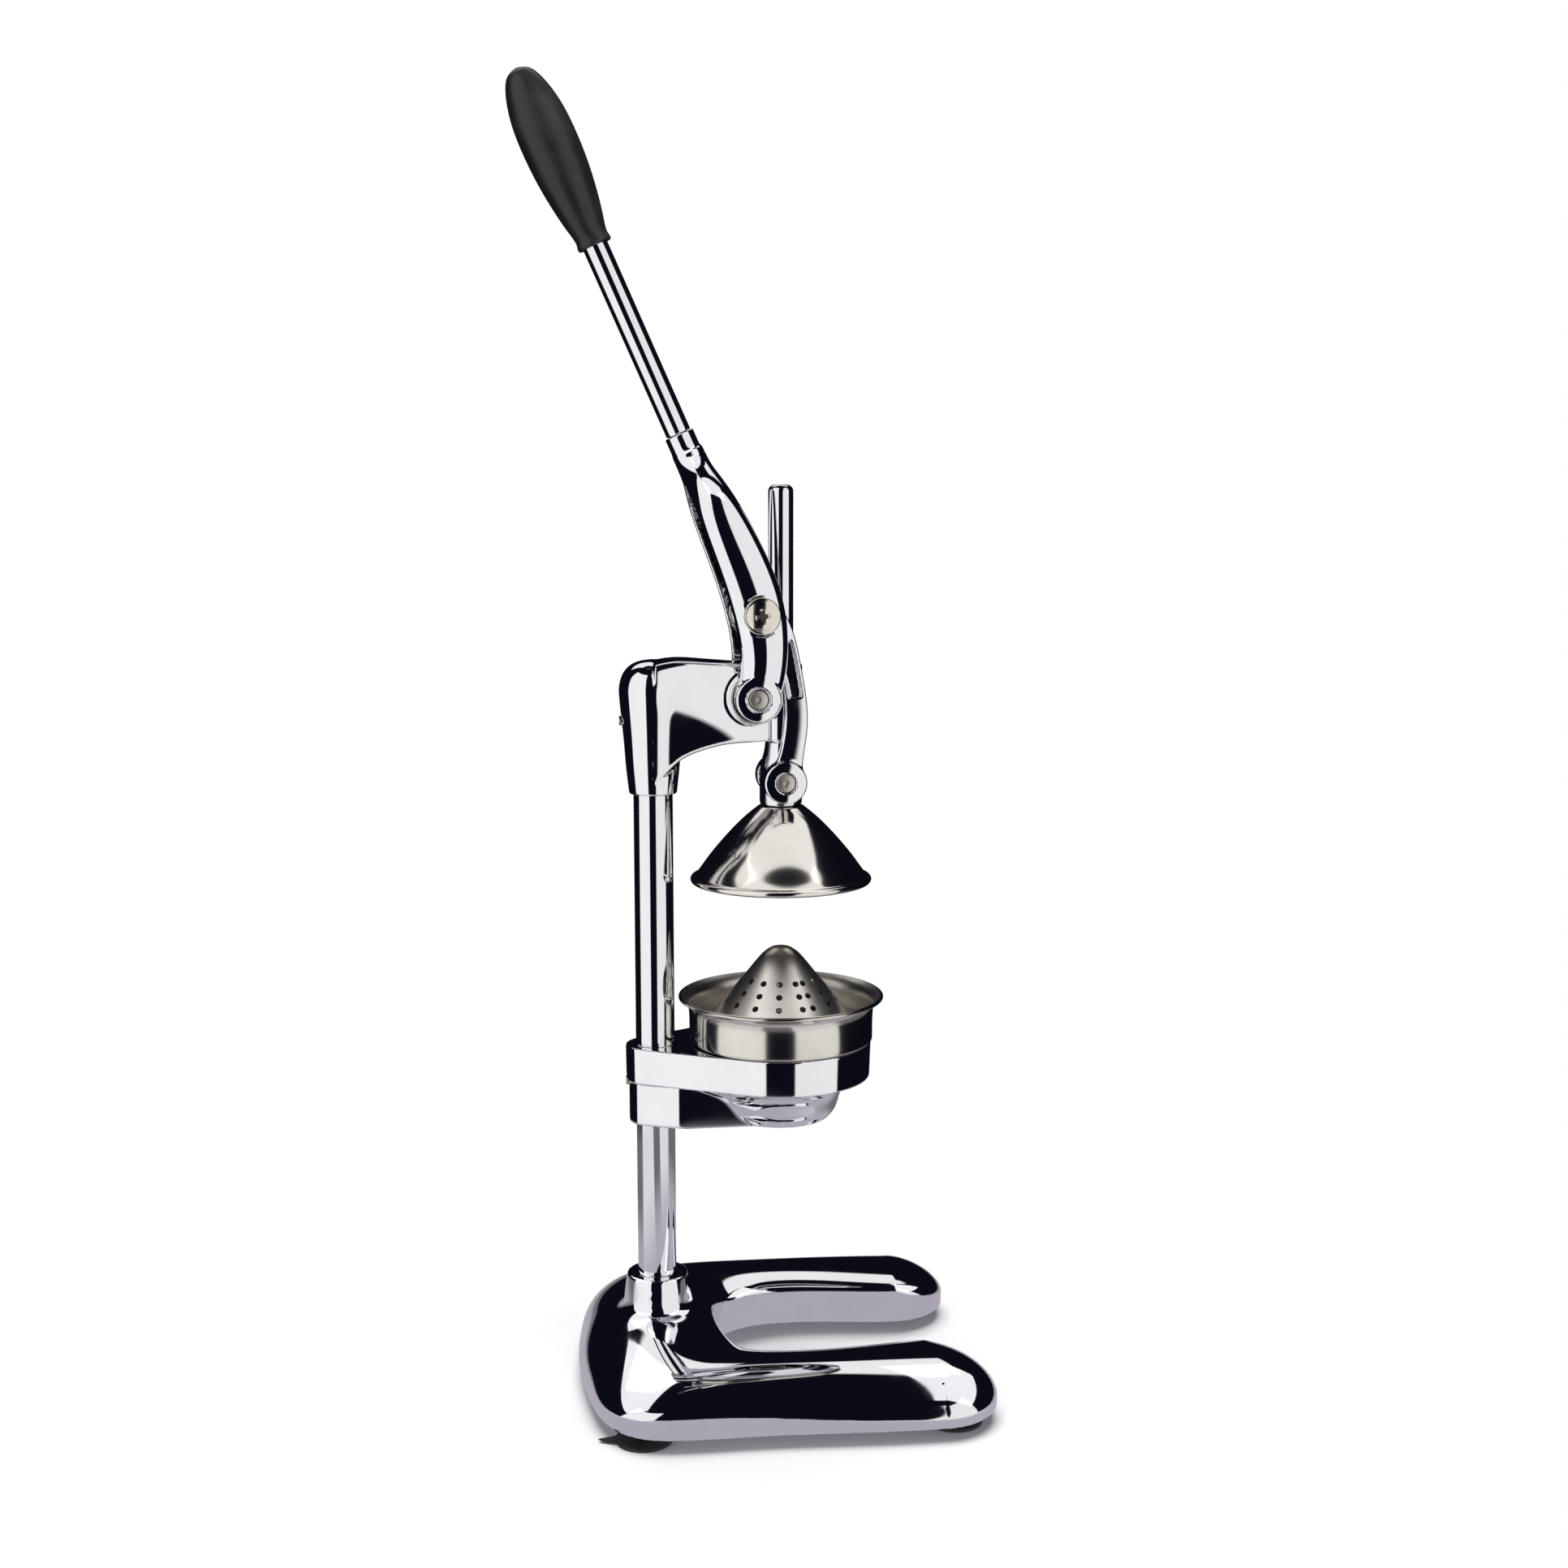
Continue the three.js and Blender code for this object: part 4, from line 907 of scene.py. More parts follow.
# %% From a field to a mesh
def slope_of(field, points, step, here=None):
    slopes = []
    for axis in range(3):
        shift = np.zeros(3)
        shift[axis] = step
        if here is None:
            slopes.append((field(*(points + shift).T) - field(*(points - shift).T)) / (2 * step))
        else:
            slopes.append((field(*(points + shift).T) - here) / step)
    return np.column_stack(slopes)


def cube_points(values, low, pitch):
    inside = values < 0
    size = np.array(values.shape) - 1
    corners = [np.array((a, b, c)) for a in (0, 1) for b in (0, 1) for c in (0, 1)]

    def at_corner(array, corner):
        return array[tuple(slice(corner[i], corner[i] + size[i]) for i in range(3))]

    filled = sum(at_corner(inside, corner).astype(np.int8) for corner in corners)
    crossed = (filled > 0) & (filled < 8)
    total = np.zeros((crossed.sum(), 3))
    hits = np.zeros(crossed.sum())
    for corner in corners:
        for axis in range(3):
            if corner[axis]:
                continue
            step = np.eye(3, dtype=int)[axis]
            here = at_corner(values, corner)[crossed]
            there = at_corner(values, corner + step)[crossed]
            cut = (here < 0) != (there < 0)
            share = here[cut] / (here[cut] - there[cut])
            total[cut] += corner + share[:, None] * step
            hits[cut] += 1
    index = np.full(size, -1)
    index[crossed] = np.arange(crossed.sum())
    return low + (np.argwhere(crossed) + total / hits[:, None]) * pitch, index, inside


def cube_faces(index, inside):
    faces = []
    for axis in range(3):
        one, two = np.eye(3, dtype=int)[(axis + 1) % 3], np.eye(3, dtype=int)[(axis + 2) % 3]
        before = np.take(inside, range(inside.shape[axis] - 1), axis)
        after = np.take(inside, range(1, inside.shape[axis]), axis)
        for starts_inside in (True, False):
            place = np.argwhere((before != after) & (before == starts_inside))
            ring = [index[tuple((place - shift).T)] for shift in (0 * one, one, one + two, two)]
            faces.append(np.column_stack(ring if starts_inside else ring[::-1]))
    return np.vstack(faces)


def cast(name, field, low, high, pitch, walks=2):
    low, high = np.array(low, float) - 2 * pitch, np.array(high, float) + 2 * pitch
    axes = [np.arange(low[i], high[i] + pitch, pitch) for i in range(3)]
    values = field(axes[0][:, None, None], axes[1][None, :, None], axes[2][None, None, :])
    points, index, inside = cube_points(values, low, pitch)
    faces = cube_faces(index, inside)
    for _ in range(walks):
        here = field(*points.T)
        slope = slope_of(field, points, 0.1 * pitch, here)
        step = slope * (here / np.maximum((slope**2).sum(axis=1), 1e-4))[:, None]
        longest = np.maximum(np.linalg.norm(step, axis=1), 1e-9)
        points = points - step * np.minimum(1, 0.4 * pitch / longest)[:, None]
    slope = slope_of(field, points, 0.3 * pitch)
    normals = slope / np.maximum(np.linalg.norm(slope, axis=1), 1e-9)[:, None]
    piece = new_piece(name, points * MM + np.array((press_x, 0, 0)), faces)
    piece.data.shade_smooth()
    piece.data.normals_split_custom_set_from_vertices(normals)
    return piece


print("casting helper ready")

# %% [markdown]
# The head is one casting: a tall sleeve that widens upwards to a domed top, an arm that leaves
# it with a deep underside, the upright guide for the press rod, and a round boss on each side for
# the main pivot. The arm's sides draw in a little towards the guide, as a casting's do.

# %% The head
press_axis = (0, 0)
column_at = (column_x - press_x) / MM
column_axis = (column_at, 0)
pivot_at = ((pivot.x - press_x) / MM, pivot.z / MM)
link_top_at = ((link_top.x - press_x) / MM, link_top.z / MM)
link_foot_at = ((link_foot.x - press_x) / MM, link_foot.z / MM)
column_bore = 11.3
rod_bore = 7.3
pin_bore = 5.6
set_screw_bore = 3.1
casting_edge = 1.6
bore_edge = 1
rod_bore_edge, pin_bore_edge = 1.4, 1.2

head_pitch = 0.9
# How far the box of cells reaches from the two axes
head_back_room, head_side_room, head_front_room = 20, 19, 13
head_sleeve_radius = 18.5
head_foot = pivot_at[1] - 54.2
head_top = pivot_at[1] + 21
head_rise = (head_foot, head_top - head_foot)
head_screw_fall = 13
head_bore_closing = pivot_at[1] + 6.7
guide_foot = pivot_at[1] - 24.7
guide_top = pivot_at[1] + 17.5
guide_rise = (guide_foot, guide_top - guide_foot)
guide_radius = 12
pivot_boss_radius = 14.9
pivot_boss_reach = 18.2
head_sleeve_shares = [(-0.05, 0.7), (0.0, 0.72), (0.2, 0.81), (0.415, 0.876), (0.747, 1.0), (1.1, 1.03)]
head_dome_shares = [(0, 1.0), (0.36, 0.988), (0.66, 0.955), (0.87, 0.9), (0.99, 0.83), (1.3, 0.55)]
arm_under_shares = [
    (-0.2, -0.72), (0, -0.5), (0.1, -0.38), (0.197, -0.235), (0.335, -0.121), (0.46, -0.059),
    (0.585, -0.021), (0.89, 0), (1.2, 0),
]
arm_over_shares = [
    (-0.3, 0.86), (0, 1.035), (0.2, 1.086), (0.42, 1.064), (0.64, 1.035), (0.89, 1.0), (1.2, 1.0),
]
arm_end_share = 0.89
arm_side_end = 11.7
arm_side_share = 0.985
arm_side_reach_share = 0.93
arm_full_height = pivot_at[1] + 1
arm_full_fade = 32
arm_full_power = 11
dome_fillet, arm_over_fillet, arm_under_fillet, arm_end_fillet = 6, 7, 3.5, 2
guide_fillet, boss_fillet = 3, 4.5

to_the_press = (column_at, -column_at)
head_line = {
    "sleeve": line_through(spread(head_sleeve_shares, head_rise, (0, head_sleeve_radius))),
    "dome": line_through(spread(head_dome_shares, (0, head_sleeve_radius), head_rise)),
    "under": line_through(spread(arm_under_shares, to_the_press, guide_rise)),
    "over": line_through(spread(arm_over_shares, to_the_press, guide_rise)),
}


def screw_bore(x, y, z, height):
    return np.maximum(rod(y, z, (0, height), set_screw_bore), x - column_at)


def head_arm(x, y, z):
    start = arm_side_share * read_line(head_line["sleeve"], z)
    along = np.clip((x - column_at) / (-arm_side_reach_share * column_at), 0, 1)
    low_share = np.clip((arm_full_height - z) / arm_full_fade, 0, 1)
    along = along ** (1 + arm_full_power * low_share**2)
    side = start + (arm_side_end - start) * along
    arm = within(np.abs(y) - side, z - read_line(head_line["over"], x), arm_over_fillet)
    arm = within(arm, read_line(head_line["under"], x) - z, arm_under_fillet)
    arm = within(arm, x - column_at * (1 - arm_end_share), arm_end_fillet)
    return within(arm, column_at - x, arm_end_fillet)


def head_field(x, y, z):
    out = rod(x, y, column_axis, 0)
    sleeve = out - read_line(head_line["sleeve"], z)
    sleeve = within(sleeve, z - read_line(head_line["dome"], out), dome_fillet)
    sleeve = within(sleeve, head_foot - z, casting_edge)
    guide = within(rod(x, y, press_axis, guide_radius), slab(z, guide_foot, guide_top), casting_edge)
    boss = rod(x, z, pivot_at, pivot_boss_radius)
    boss = within(boss, np.abs(y) - pivot_boss_reach, casting_edge)
    body = joined(joined(sleeve, head_arm(x, y, z), guide_fillet), guide, guide_fillet)
    # Behind the pivot the boss runs into the arm, and ahead of it its edge stays crisp
    behind = np.clip((pivot_at[0] + 4 - x) / 6, 0.08, 1)
    body = joined(body, boss, boss_fillet * behind)
    # The column's bore ends in a cone, under the closed dome
    closing = np.clip(z - head_bore_closing, 0, None) * 3
    body = without(body, rod(x, y, column_axis, column_bore) + closing, bore_edge)
    body = without(body, rod(x, y, press_axis, rod_bore), rod_bore_edge)
    body = without(body, rod(x, z, pivot_at, pin_bore), pin_bore_edge)
    return without(body, screw_bore(x, y, z, pivot_at[1] - head_screw_fall), bore_edge)


def build_head():
    low = (column_at - head_back_room, -head_side_room, head_foot)
    high = (head_front_room, head_side_room, head_top)
    dress(cast("head", head_field, low, high, head_pitch), "head_casting")


build_head()

# %% [markdown]
# The cup holder wraps two circles, the ring and the sleeve, with the straight lines that touch
# them both. Its upper half is a band that widens upwards. Below the band a bowl draws in to an
# open foot, and a web with slanting walls joins it to the sleeve. The distance to a line round
# two circles has a short exact formula.

# %% The cup holder
holder_foot = 155.0
holder_top = 200.0
holder_radius = 51.5
holder_sleeve_radius = 16.8
holder_bore = 46.2
holder_rise = (holder_foot, holder_top - holder_foot)
holder_screw_fall = 21
holder_pitch = 1.0
band_foot = 179.6
band_shares = [(0.5, 0.986, 0.986), (0.578, 0.988, 0.988), (0.967, 1.0, 1.0), (1.1, 1.004, 1.004)]
bowl_shares = [
    (-0.05, 0.5, 0.889), (0, 0.524, 0.891), (0.1, 0.598, 0.893), (0.222, 0.64, 0.893),
    (0.333, 0.672, 0.893), (0.422, 0.728, 0.893), (0.511, 0.822, 0.893), (0.6, 0.87, 0.893),
    (0.7, 0.88, 0.893),
]
band_overlap = 2
band_top_edge, band_foot_edge, holder_bore_edge = 1.4, 1, 1.2
web_edge, web_fillet, bowl_fillet, band_fillet = 1, 1, 2, 1.2
web_lean, web_growth, web_turn = 0.42, 5.5, 3.5
web_stretch = math.hypot(1, web_lean)
bowl_draw = (0.94, 0.72)
holder_inside_shares = [
    (0.0, 0.5), (0.089, 0.52), (0.178, 0.56), (0.267, 0.61), (0.356, 0.66), (0.511, 0.812),
    (0.63, 0.97), (0.7, 1.0), (1.1, 1.0),
]


def round_two_circles(x, y, ring, sleeve):
    lean = (ring - sleeve) / -column_at
    side = np.sqrt(1 - lean**2)
    across, along = np.abs(y), -x
    edge = side * along - lean * across
    by_ring = rod(across, along, (0, 0), ring)
    by_sleeve = rod(across, along, (0, -column_at), sleeve)
    between = across * side + along * lean - ring
    return np.where(edge < 0, by_ring, np.where(edge > side * -column_at, by_sleeve, between))


def holder_lines(shares):
    ring = spread([(up, out) for up, out, _ in shares], holder_rise, (0, holder_radius))
    sleeve = spread([(up, out) for up, _, out in shares], holder_rise, (0, holder_sleeve_radius))
    return line_through(ring), line_through(sleeve)


band_lines = holder_lines(band_shares)
bowl_lines = holder_lines(bowl_shares)
holder_inside = line_through(spread(holder_inside_shares, holder_rise, (0, holder_bore)))


def holder_bowl(x, y, z):
    ring, sleeve = (read_line(line, z) for line in bowl_lines)
    half_web = sleeve * web_stretch + joined(web_lean * (x - column_at), web_growth, web_turn)
    web_start = column_at - sleeve * web_lean / web_stretch
    web = within(np.abs(y) - half_web, slab(x, web_start, 0), web_edge)
    behind = joined(rod(x, y, column_axis, 0) - sleeve, web, web_fillet)
    # The bowl's back half is drawn out towards the web, most of all under the band
    drawn = np.where(x < 0, x * np.interp(z, (holder_foot, band_foot), bowl_draw), x)
    bowl = joined(rod(drawn, y, press_axis, 0) - ring, behind, bowl_fillet)
    return within(bowl, slab(z, holder_foot, band_foot + band_overlap), casting_edge)


def holder_field(x, y, z):
    band = round_two_circles(x, y, *(read_line(line, z) for line in band_lines))
    band = within(band, z - holder_top, band_top_edge)
    band = within(band, band_foot - z, band_foot_edge)
    body = joined(band, holder_bowl(x, y, z), band_fillet)
    cup_seat = rod(x, y, press_axis, 0) - read_line(holder_inside, z)
    body = without(body, cup_seat, holder_bore_edge)
    body = without(body, rod(x, y, column_axis, column_bore), holder_bore_edge)
    return without(body, screw_bore(x, y, z, holder_top - holder_screw_fall), bore_edge)


def build_holder():
    low = (column_at - holder_sleeve_radius, -holder_radius, holder_foot)
    high = (holder_radius, holder_radius, holder_top)
    dress(cast("holder", holder_field, low, high, holder_pitch), "cup_holder")


build_holder()

# %% [markdown]
# The lever's fork is a sweep: each arm follows a path that rises, leans back and closes towards
# the other arm. Across the path, an arm has a flat inner face and a crowned outer one. Both arms
# are one field, because the distance from the middle plane stands for either side. The socket
# for the handle is a short rod on the leaning axis.

# %% A swept bar as a field
def swept_path(rows, count):
    rows = np.array(rows, float)
    size = len(rows)
    knots, bend_rows, sides = np.arange(size), np.eye(size), np.zeros(rows.shape)
    for i in range(1, size - 1):
        bend_rows[i, i - 1:i + 2] = 1, 4, 1
        sides[i] = 6 * (rows[i + 1] - 2 * rows[i] + rows[i - 1])
    bends = np.linalg.solve(bend_rows, sides)
    at = np.linspace(0, size - 1, count)
    span = np.clip(at.astype(int), 0, size - 2)
    right, left = (at - knots[span])[:, None], (knots[span] + 1 - at)[:, None]
    return (
        bends[span] * (left**3 - left) / 6 + bends[span + 1] * (right**3 - right) / 6
        + rows[span] * left + rows[span + 1] * right
    )


def nearest_on_path(x, z, path):
    shape = np.broadcast(x, z).shape
    place = np.column_stack([np.broadcast_to(v, shape).ravel() for v in (x, z)])
    start, step = path[:-1, :2], np.diff(path[:, :2], axis=0)
    long = (step**2).sum(axis=1)
    index, share = np.empty(len(place), int), np.empty(len(place))
    for first in range(0, len(place), 20000):
        some = place[first:first + 20000]
        off = some[:, None] - start[None]
        way = np.clip((off * step).sum(axis=2) / long, 0, 1)
        away = ((off - way[..., None] * step) ** 2).sum(axis=2)
        best = away.argmin(axis=1)
        index[first:first + 20000] = best
        share[first:first + 20000] = way[np.arange(len(some)), best]
    on_path = path[index] + share[:, None] * (path[index + 1] - path[index])
    heading = step[index] / np.sqrt(long[index])[:, None]
    off = place - on_path[:, :2]
    aside = off[:, 0] * heading[:, 1] - off[:, 1] * heading[:, 0]
    beyond = off[:, 0] * heading[:, 0] + off[:, 1] * heading[:, 1]
    return [v.reshape(shape) for v in (aside, beyond, *on_path[:, 2:].T)]


print("sweep helpers ready")

# %% [markdown]
# The fork's path is given at nine stations, as shares of its reach back and its height. Each
# station also says how wide the arm is and where its inner and outer faces lie, so one table
# holds the whole form. Round bosses are added, and the bores, the sinks for the pin's ends and
# the flat seats for the screws' heads are cut last, as they are machined in a real casting.

# %% The lever's fork
fork_pitch = 0.85
fork_edge, fork_boss_edge, fork_end_edge = 2.4, 1.8, 1.5
fork_boss_fillet, socket_fillet = 2.2, 3.5
# How far the box of cells reaches from the socket's and the pivot's centre
fork_side_room, fork_foot_room, fork_top_room = 17, 15, 21
fork_half_width = 14.3
fork_inner = 19.6
fork_outer = 28.6
fork_boss_radius = 12.5
fork_boss_top = 29.2
boss_swell = 1.1
fork_spot_radius = 11.2
fork_spot_height = 27.9
fork_sink_radius = 6.6
fork_sink_height = 27.6
fork_screw_bore = 4.3
socket_radius = 8.2
socket_edge = 0.9
handle_bore = 5.3
fork_shares = [
    (0, 0, 0.86, 1, 1), (-0.112, 0.157, 0.909, 1, 1), (-0.04, 0.361, 1, 1, 1),
    (0.213, 0.566, 0.972, 1, 1), (0.535, 0.754, 0.86, 0.98, 1), (0.733, 0.864, 0.755, 0.714, 0.927),
    (0.869, 0.939, 0.664, 0.204, 0.717), (0.96, 0.99, 0.601, -0.051, 0.472),
    (1.052, 1.041, 0.573, -0.051, 0.315),
]
fork_spring_share = 0.12
fork_crown_power = 2.1
fork_path = swept_path([
    (
        pivot_at[0] - back * fork_reach, pivot_at[1] + up * fork_height,
        width * fork_half_width, inner * fork_inner, outer * fork_outer,
    )
    for back, up, width, inner, outer in fork_shares
], 90)
socket_at = (pivot_at[0] - fork_reach, pivot_at[1] + fork_height)


def crowned_section(aside, y, half_width, inner, outer):
    spring = inner + fork_spring_share * (outer - inner)
    crown = outer - spring
    up = np.maximum(np.abs(y) - spring, 0) / crown
    out = np.abs(aside) / half_width
    level = out**2 + up**fork_crown_power - 1
    steep_out = 2 * out / half_width
    steep_up = fork_crown_power * up ** (fork_crown_power - 1) / crown
    return level / np.maximum(np.sqrt(steep_out**2 + steep_up**2), 1 / half_width)


def fork_field(x, y, z):
    aside, beyond, half_width, inner, outer = nearest_on_path(x, z, fork_path)
    arm = within(crowned_section(aside, y, half_width, inner, outer), inner - np.abs(y), fork_edge)
    arm = within(arm, np.abs(beyond) - 2, fork_end_edge)
    off_x, off_z = x - socket_at[0], z - socket_at[1]
    along = -off_x * math.sin(handle_lean) + off_z * math.cos(handle_lean)
    across = off_x * math.cos(handle_lean) + off_z * math.sin(handle_lean)
    by_axis = np.sqrt(across**2 + y**2)
    socket_ends = slab(along, -socket_radius, socket_length / MM)
    socket = within(by_axis - socket_radius, socket_ends, socket_edge)
    out = np.abs(y)
    boss = rod(x, z, pivot_at, fork_boss_radius)
    swell = boss_swell * ((boss + fork_boss_radius) / fork_boss_radius) ** 2
    boss = within(boss, np.maximum(fork_inner - out, out - fork_boss_top + swell), fork_boss_edge)
    body = joined(joined(arm, boss, fork_boss_fillet), socket, socket_fillet)
    sink = np.maximum(rod(x, z, pivot_at, fork_sink_radius), fork_sink_height - out)
    spot = np.maximum(rod(x, z, link_top_at, fork_spot_radius), fork_spot_height - out)
    stud = np.maximum(by_axis - handle_bore, -2 - along)
    pin, screw = rod(x, z, pivot_at, pin_bore), rod(x, z, link_top_at, fork_screw_bore)
    for tool in (sink, spot, pin, screw, stud):
        body = without(body, tool, bore_edge)
    return body


def build_fork():
    low = (socket_at[0] - fork_side_room, -fork_boss_top, pivot_at[1] - fork_foot_room)
    high = (pivot_at[0] + fork_side_room, fork_boss_top, socket_at[1] + fork_top_room)
    dress(cast("fork", fork_field, low, high, fork_pitch), "lever_fork")


build_fork()

# %% [markdown]
# Each link arm is a flat bar that bows to the front between two round ends, with a shallow
# pocket in its upper half that saves metal. It is the same sweep, with a flat section.

# %% The link arms
link_pitch = 0.75
link_end_edge, link_foot_edge, link_bore_edge = 1, 2, 0.9
link_eye_fillet, link_foot_fillet = 2, 2.4
# How far the box of cells reaches from the eye's and the foot's centre
link_eye_room, link_foot_room, link_front_room = 13, 12, 20
link_inner = 12.3
link_thickness = 6.7
link_half_width = 12.5
link_bow = 12.8
link_foot_radius = 12
link_foot_reach = 23.2
link_edge = 2.6
link_shares = [
    (0, 0, 1), (0.094, 0.562, 0.76), (0.234, 0.854, 0.6), (0.395, 0.99, 0.504), (0.567, 0.958, 0.512),
    (0.729, 0.718, 0.528), (0.89, 0.323, 0.6), (1, 0, 0.96),
]
pocket_share_low, pocket_share_high = 0.17, 0.49
pocket_depth = 1.7
pocket_rim = 2.7
pocket_end_round, pocket_floor_round, pocket_edge = 3, 1.6, 1.4
link_crown = 0.6
link_drop = 93
link_path = swept_path([
    (
        link_top_at[0] + down * (link_foot_at[0] - link_top_at[0]) + bow * link_bow,
        link_top_at[1] + down * (link_foot_at[1] - link_top_at[1]),
        width * link_half_width, down,
    )
    for down, bow, width in link_shares
], 70)


def link_field(x, y, z):
    aside, beyond, half_width, down = nearest_on_path(x, z, link_path)
    outer = link_inner + link_thickness
    middle, half = (link_inner + outer) / 2, link_thickness / 2
    crown = link_crown * (np.abs(aside) / link_half_width) ** 2
    plate = np.maximum(link_inner - y, y - outer + crown)
    bar = within(np.abs(aside) - half_width, plate, link_edge)
    bar = within(bar, np.abs(beyond) - 1, link_end_edge)
    eye = within(rod(x, z, link_top_at, link_half_width), np.abs(y - middle) - half, link_edge)
    foot = rod(x, z, link_foot_at, link_foot_radius)
    swell = boss_swell * ((foot + link_foot_radius) / link_foot_radius) ** 2
    foot = within(foot, np.maximum(link_inner - y, y - link_foot_reach + swell), link_foot_edge)
    body = joined(joined(bar, eye, link_eye_fillet), foot, link_foot_fillet)
    ends = slab(down, pocket_share_low, pocket_share_high) * link_drop
    pocket = within(np.abs(aside) - half_width + pocket_rim, ends, pocket_end_round)
    pocket = within(pocket, outer - pocket_depth - y, pocket_floor_round)
    body = without(body, pocket, pocket_edge)
    body = without(body, rod(x, z, link_top_at, fork_screw_bore), link_bore_edge)
    return without(body, rod(x, z, link_foot_at, pin_bore), link_bore_edge)


def left_link_field(x, y, z):
    return link_field(x, -y, z)


def build_links():
    low = (link_top_at[0] - link_eye_room, link_inner, link_foot_at[1] - link_foot_room)
    high = (link_foot_at[0] + link_front_room, link_foot_reach, link_top_at[1] + link_eye_room)
    left_low, left_high = (low[0], -high[1], low[2]), (high[0], -low[1], high[2])
    dress(cast("link_right", link_field, low, high, link_pitch), "link_arm_right")
    dress(cast("link_left", left_link_field, left_low, left_high, link_pitch), "link_arm_left")


build_links()

# %% [markdown]
# The plunger block is a bottle shape round the rod, with a short cross boss that the links' feet
# stand against.

# %% The plunger block
block_pitch = 0.8
block_radius = 12
block_boss_radius = 9.5
block_boss_reach = 12
block_floor = 3.7
block_boss_edge, block_fillet = 1.2, 2.5
stud_bore = 5.3
block_shares = [
    (-0.05, 0.98), (0, 0.985), (0.1, 1), (0.24, 1), (0.6, 0.958), (0.825, 0.8), (1, 0.73), (1.05, 0.72),
]
block_foot, block_top = heights_of("plunger_block")
block_rise = (block_foot, block_top - block_foot)
block_line = line_through(spread(block_shares, block_rise, (0, block_radius)))


def block_field(x, y, z):
    barrel = rod(x, y, press_axis, 0) - read_line(block_line, z)
    barrel = within(barrel, slab(z, block_foot, block_top), casting_edge)
    boss = rod(x, z, link_foot_at, block_boss_radius)
    boss = within(boss, np.abs(y) - block_boss_reach, block_boss_edge)
    body = joined(barrel, boss, block_fillet)
    rod_seat = np.maximum(rod(x, y, press_axis, rod_bore), block_foot + block_floor - z)
    body = without(body, rod_seat, bore_edge)
    return without(body, rod(x, y, press_axis, stud_bore), bore_edge)


def build_block():
    low = (-block_radius - 1, -block_radius - 1, block_foot)
    high = (block_radius + 1, block_radius + 1, block_top)
    dress(cast("block", block_field, low, high, block_pitch), "plunger_block")


build_block()

# %% [markdown]
# The base is the largest casting. Its outline is one closed line: round the back, along each leg,
# round the tip and back along the gap. Between the outer edge and the gap a crest runs in the
# middle, and the surface falls from it to both edges on a rounded curve. For any point of the
# floor plan the field finds the section through it: the crest point, the edge point, and how far
# the point lies between them.

# %% The base's plan
base_foot = 8.0
base_back = 118
base_front = 111
base_half_width = 107.5
gap_end = 40.5
lobe_radius = 34.5
crest_back, crest_leg, crest_tip = 37, 30.5, 28
gap_wall_back, gap_wall_leg = 29, 19.5
lip_height = 5.5
leg_lip_rise = 6.5
base_wall = 5
outer_power, inner_power = 1.52, 2.0
edge_inset = 0.3
lobe_at = (base_front - lobe_radius, base_half_width - lobe_radius)
outer_shares = [
    (0, 0), (0.012, 0.33), (0.045, 0.65), (0.135, 0.89), (0.3, 0.952), (0.5, 0.957), (0.74, 0.985),
    (1, 1),
]
inner_shares = [
    (0, 0), (0.01, 0.115), (0.05, 0.235), (0.12, 0.335), (0.24, 0.405), (0.41, 0.428), (0.65, 0.407),
]
plan_steps = 240
edge_steps = 40
lobe_entry = math.radians(35)


def base_edge(half, beyond):
    half = [*half, beyond]
    whole = [(x, -y) for x, y in half[:0:-1]] + half
    fine = swept_path(whole, 2 * (len(half) - 1) * edge_steps + 1)
    middle = len(fine) // 2
    reached = fine[middle:middle + (len(half) - 2) * edge_steps + 1]
    at = np.linspace(0, len(reached) - 1, plan_steps + 1)
    return np.column_stack([np.interp(at, np.arange(len(reached)), reached[:, i]) for i in (0, 1)])


def base_plan():
    across = (0, base_half_width)
    outer = spread(outer_shares, (-base_back, lobe_at[0] + base_back), across)
    outer = [(x, y - edge_inset * (y > 0)) for x, y in outer]
    inner = spread(inner_shares, (-gap_end, lobe_at[0] + gap_end), across)
    inner.append((lobe_at[0], lobe_at[1] - lobe_radius))
    beyond = lobe_at[0] + lobe_radius * math.sin(lobe_entry)
    aside = lobe_radius * math.cos(lobe_entry)
    return (
        base_edge(outer, (beyond, lobe_at[1] + aside)),
        base_edge(inner, (beyond, lobe_at[1] - aside)),
    )


outer_edge, inner_edge = base_plan()
crest_line = (outer_edge + inner_edge) / 2
print("base plan:", len(crest_line), "sections on each leg")

# %% [markdown]
# The base's section is a rounded curve: flatter towards the outer edge, a true quarter ellipse
# towards the gap, and one blends into the other round each tip. The neck round the column joins
# this dome with a wide fillet. The same two fields, shrunk by one wall, are the hollow under the
# casting, where a boss holds the column's bolt and four posts hold the feet.

# %% The base's field
base_pitch = 1.35
neck_top = 64.3
neck_top_radius, neck_waist_radius = 18.3, 16.2
neck_shares = [
    (-0.6, 0.2), (-0.2, 0.35), (0.1, 0.7), (0.3, 0.95), (0.5, 1), (0.75, 0.8), (1, 0.45), (1.2, 0.1),
]
neck_rise = (base_foot + crest_back, neck_top - base_foot - crest_back)
neck_growth = (neck_waist_radius, neck_top_radius - neck_waist_radius)
neck_line = line_through(spread(neck_shares, neck_rise, neck_growth))
neck_fillet = 20
neck_foot_rise = 12
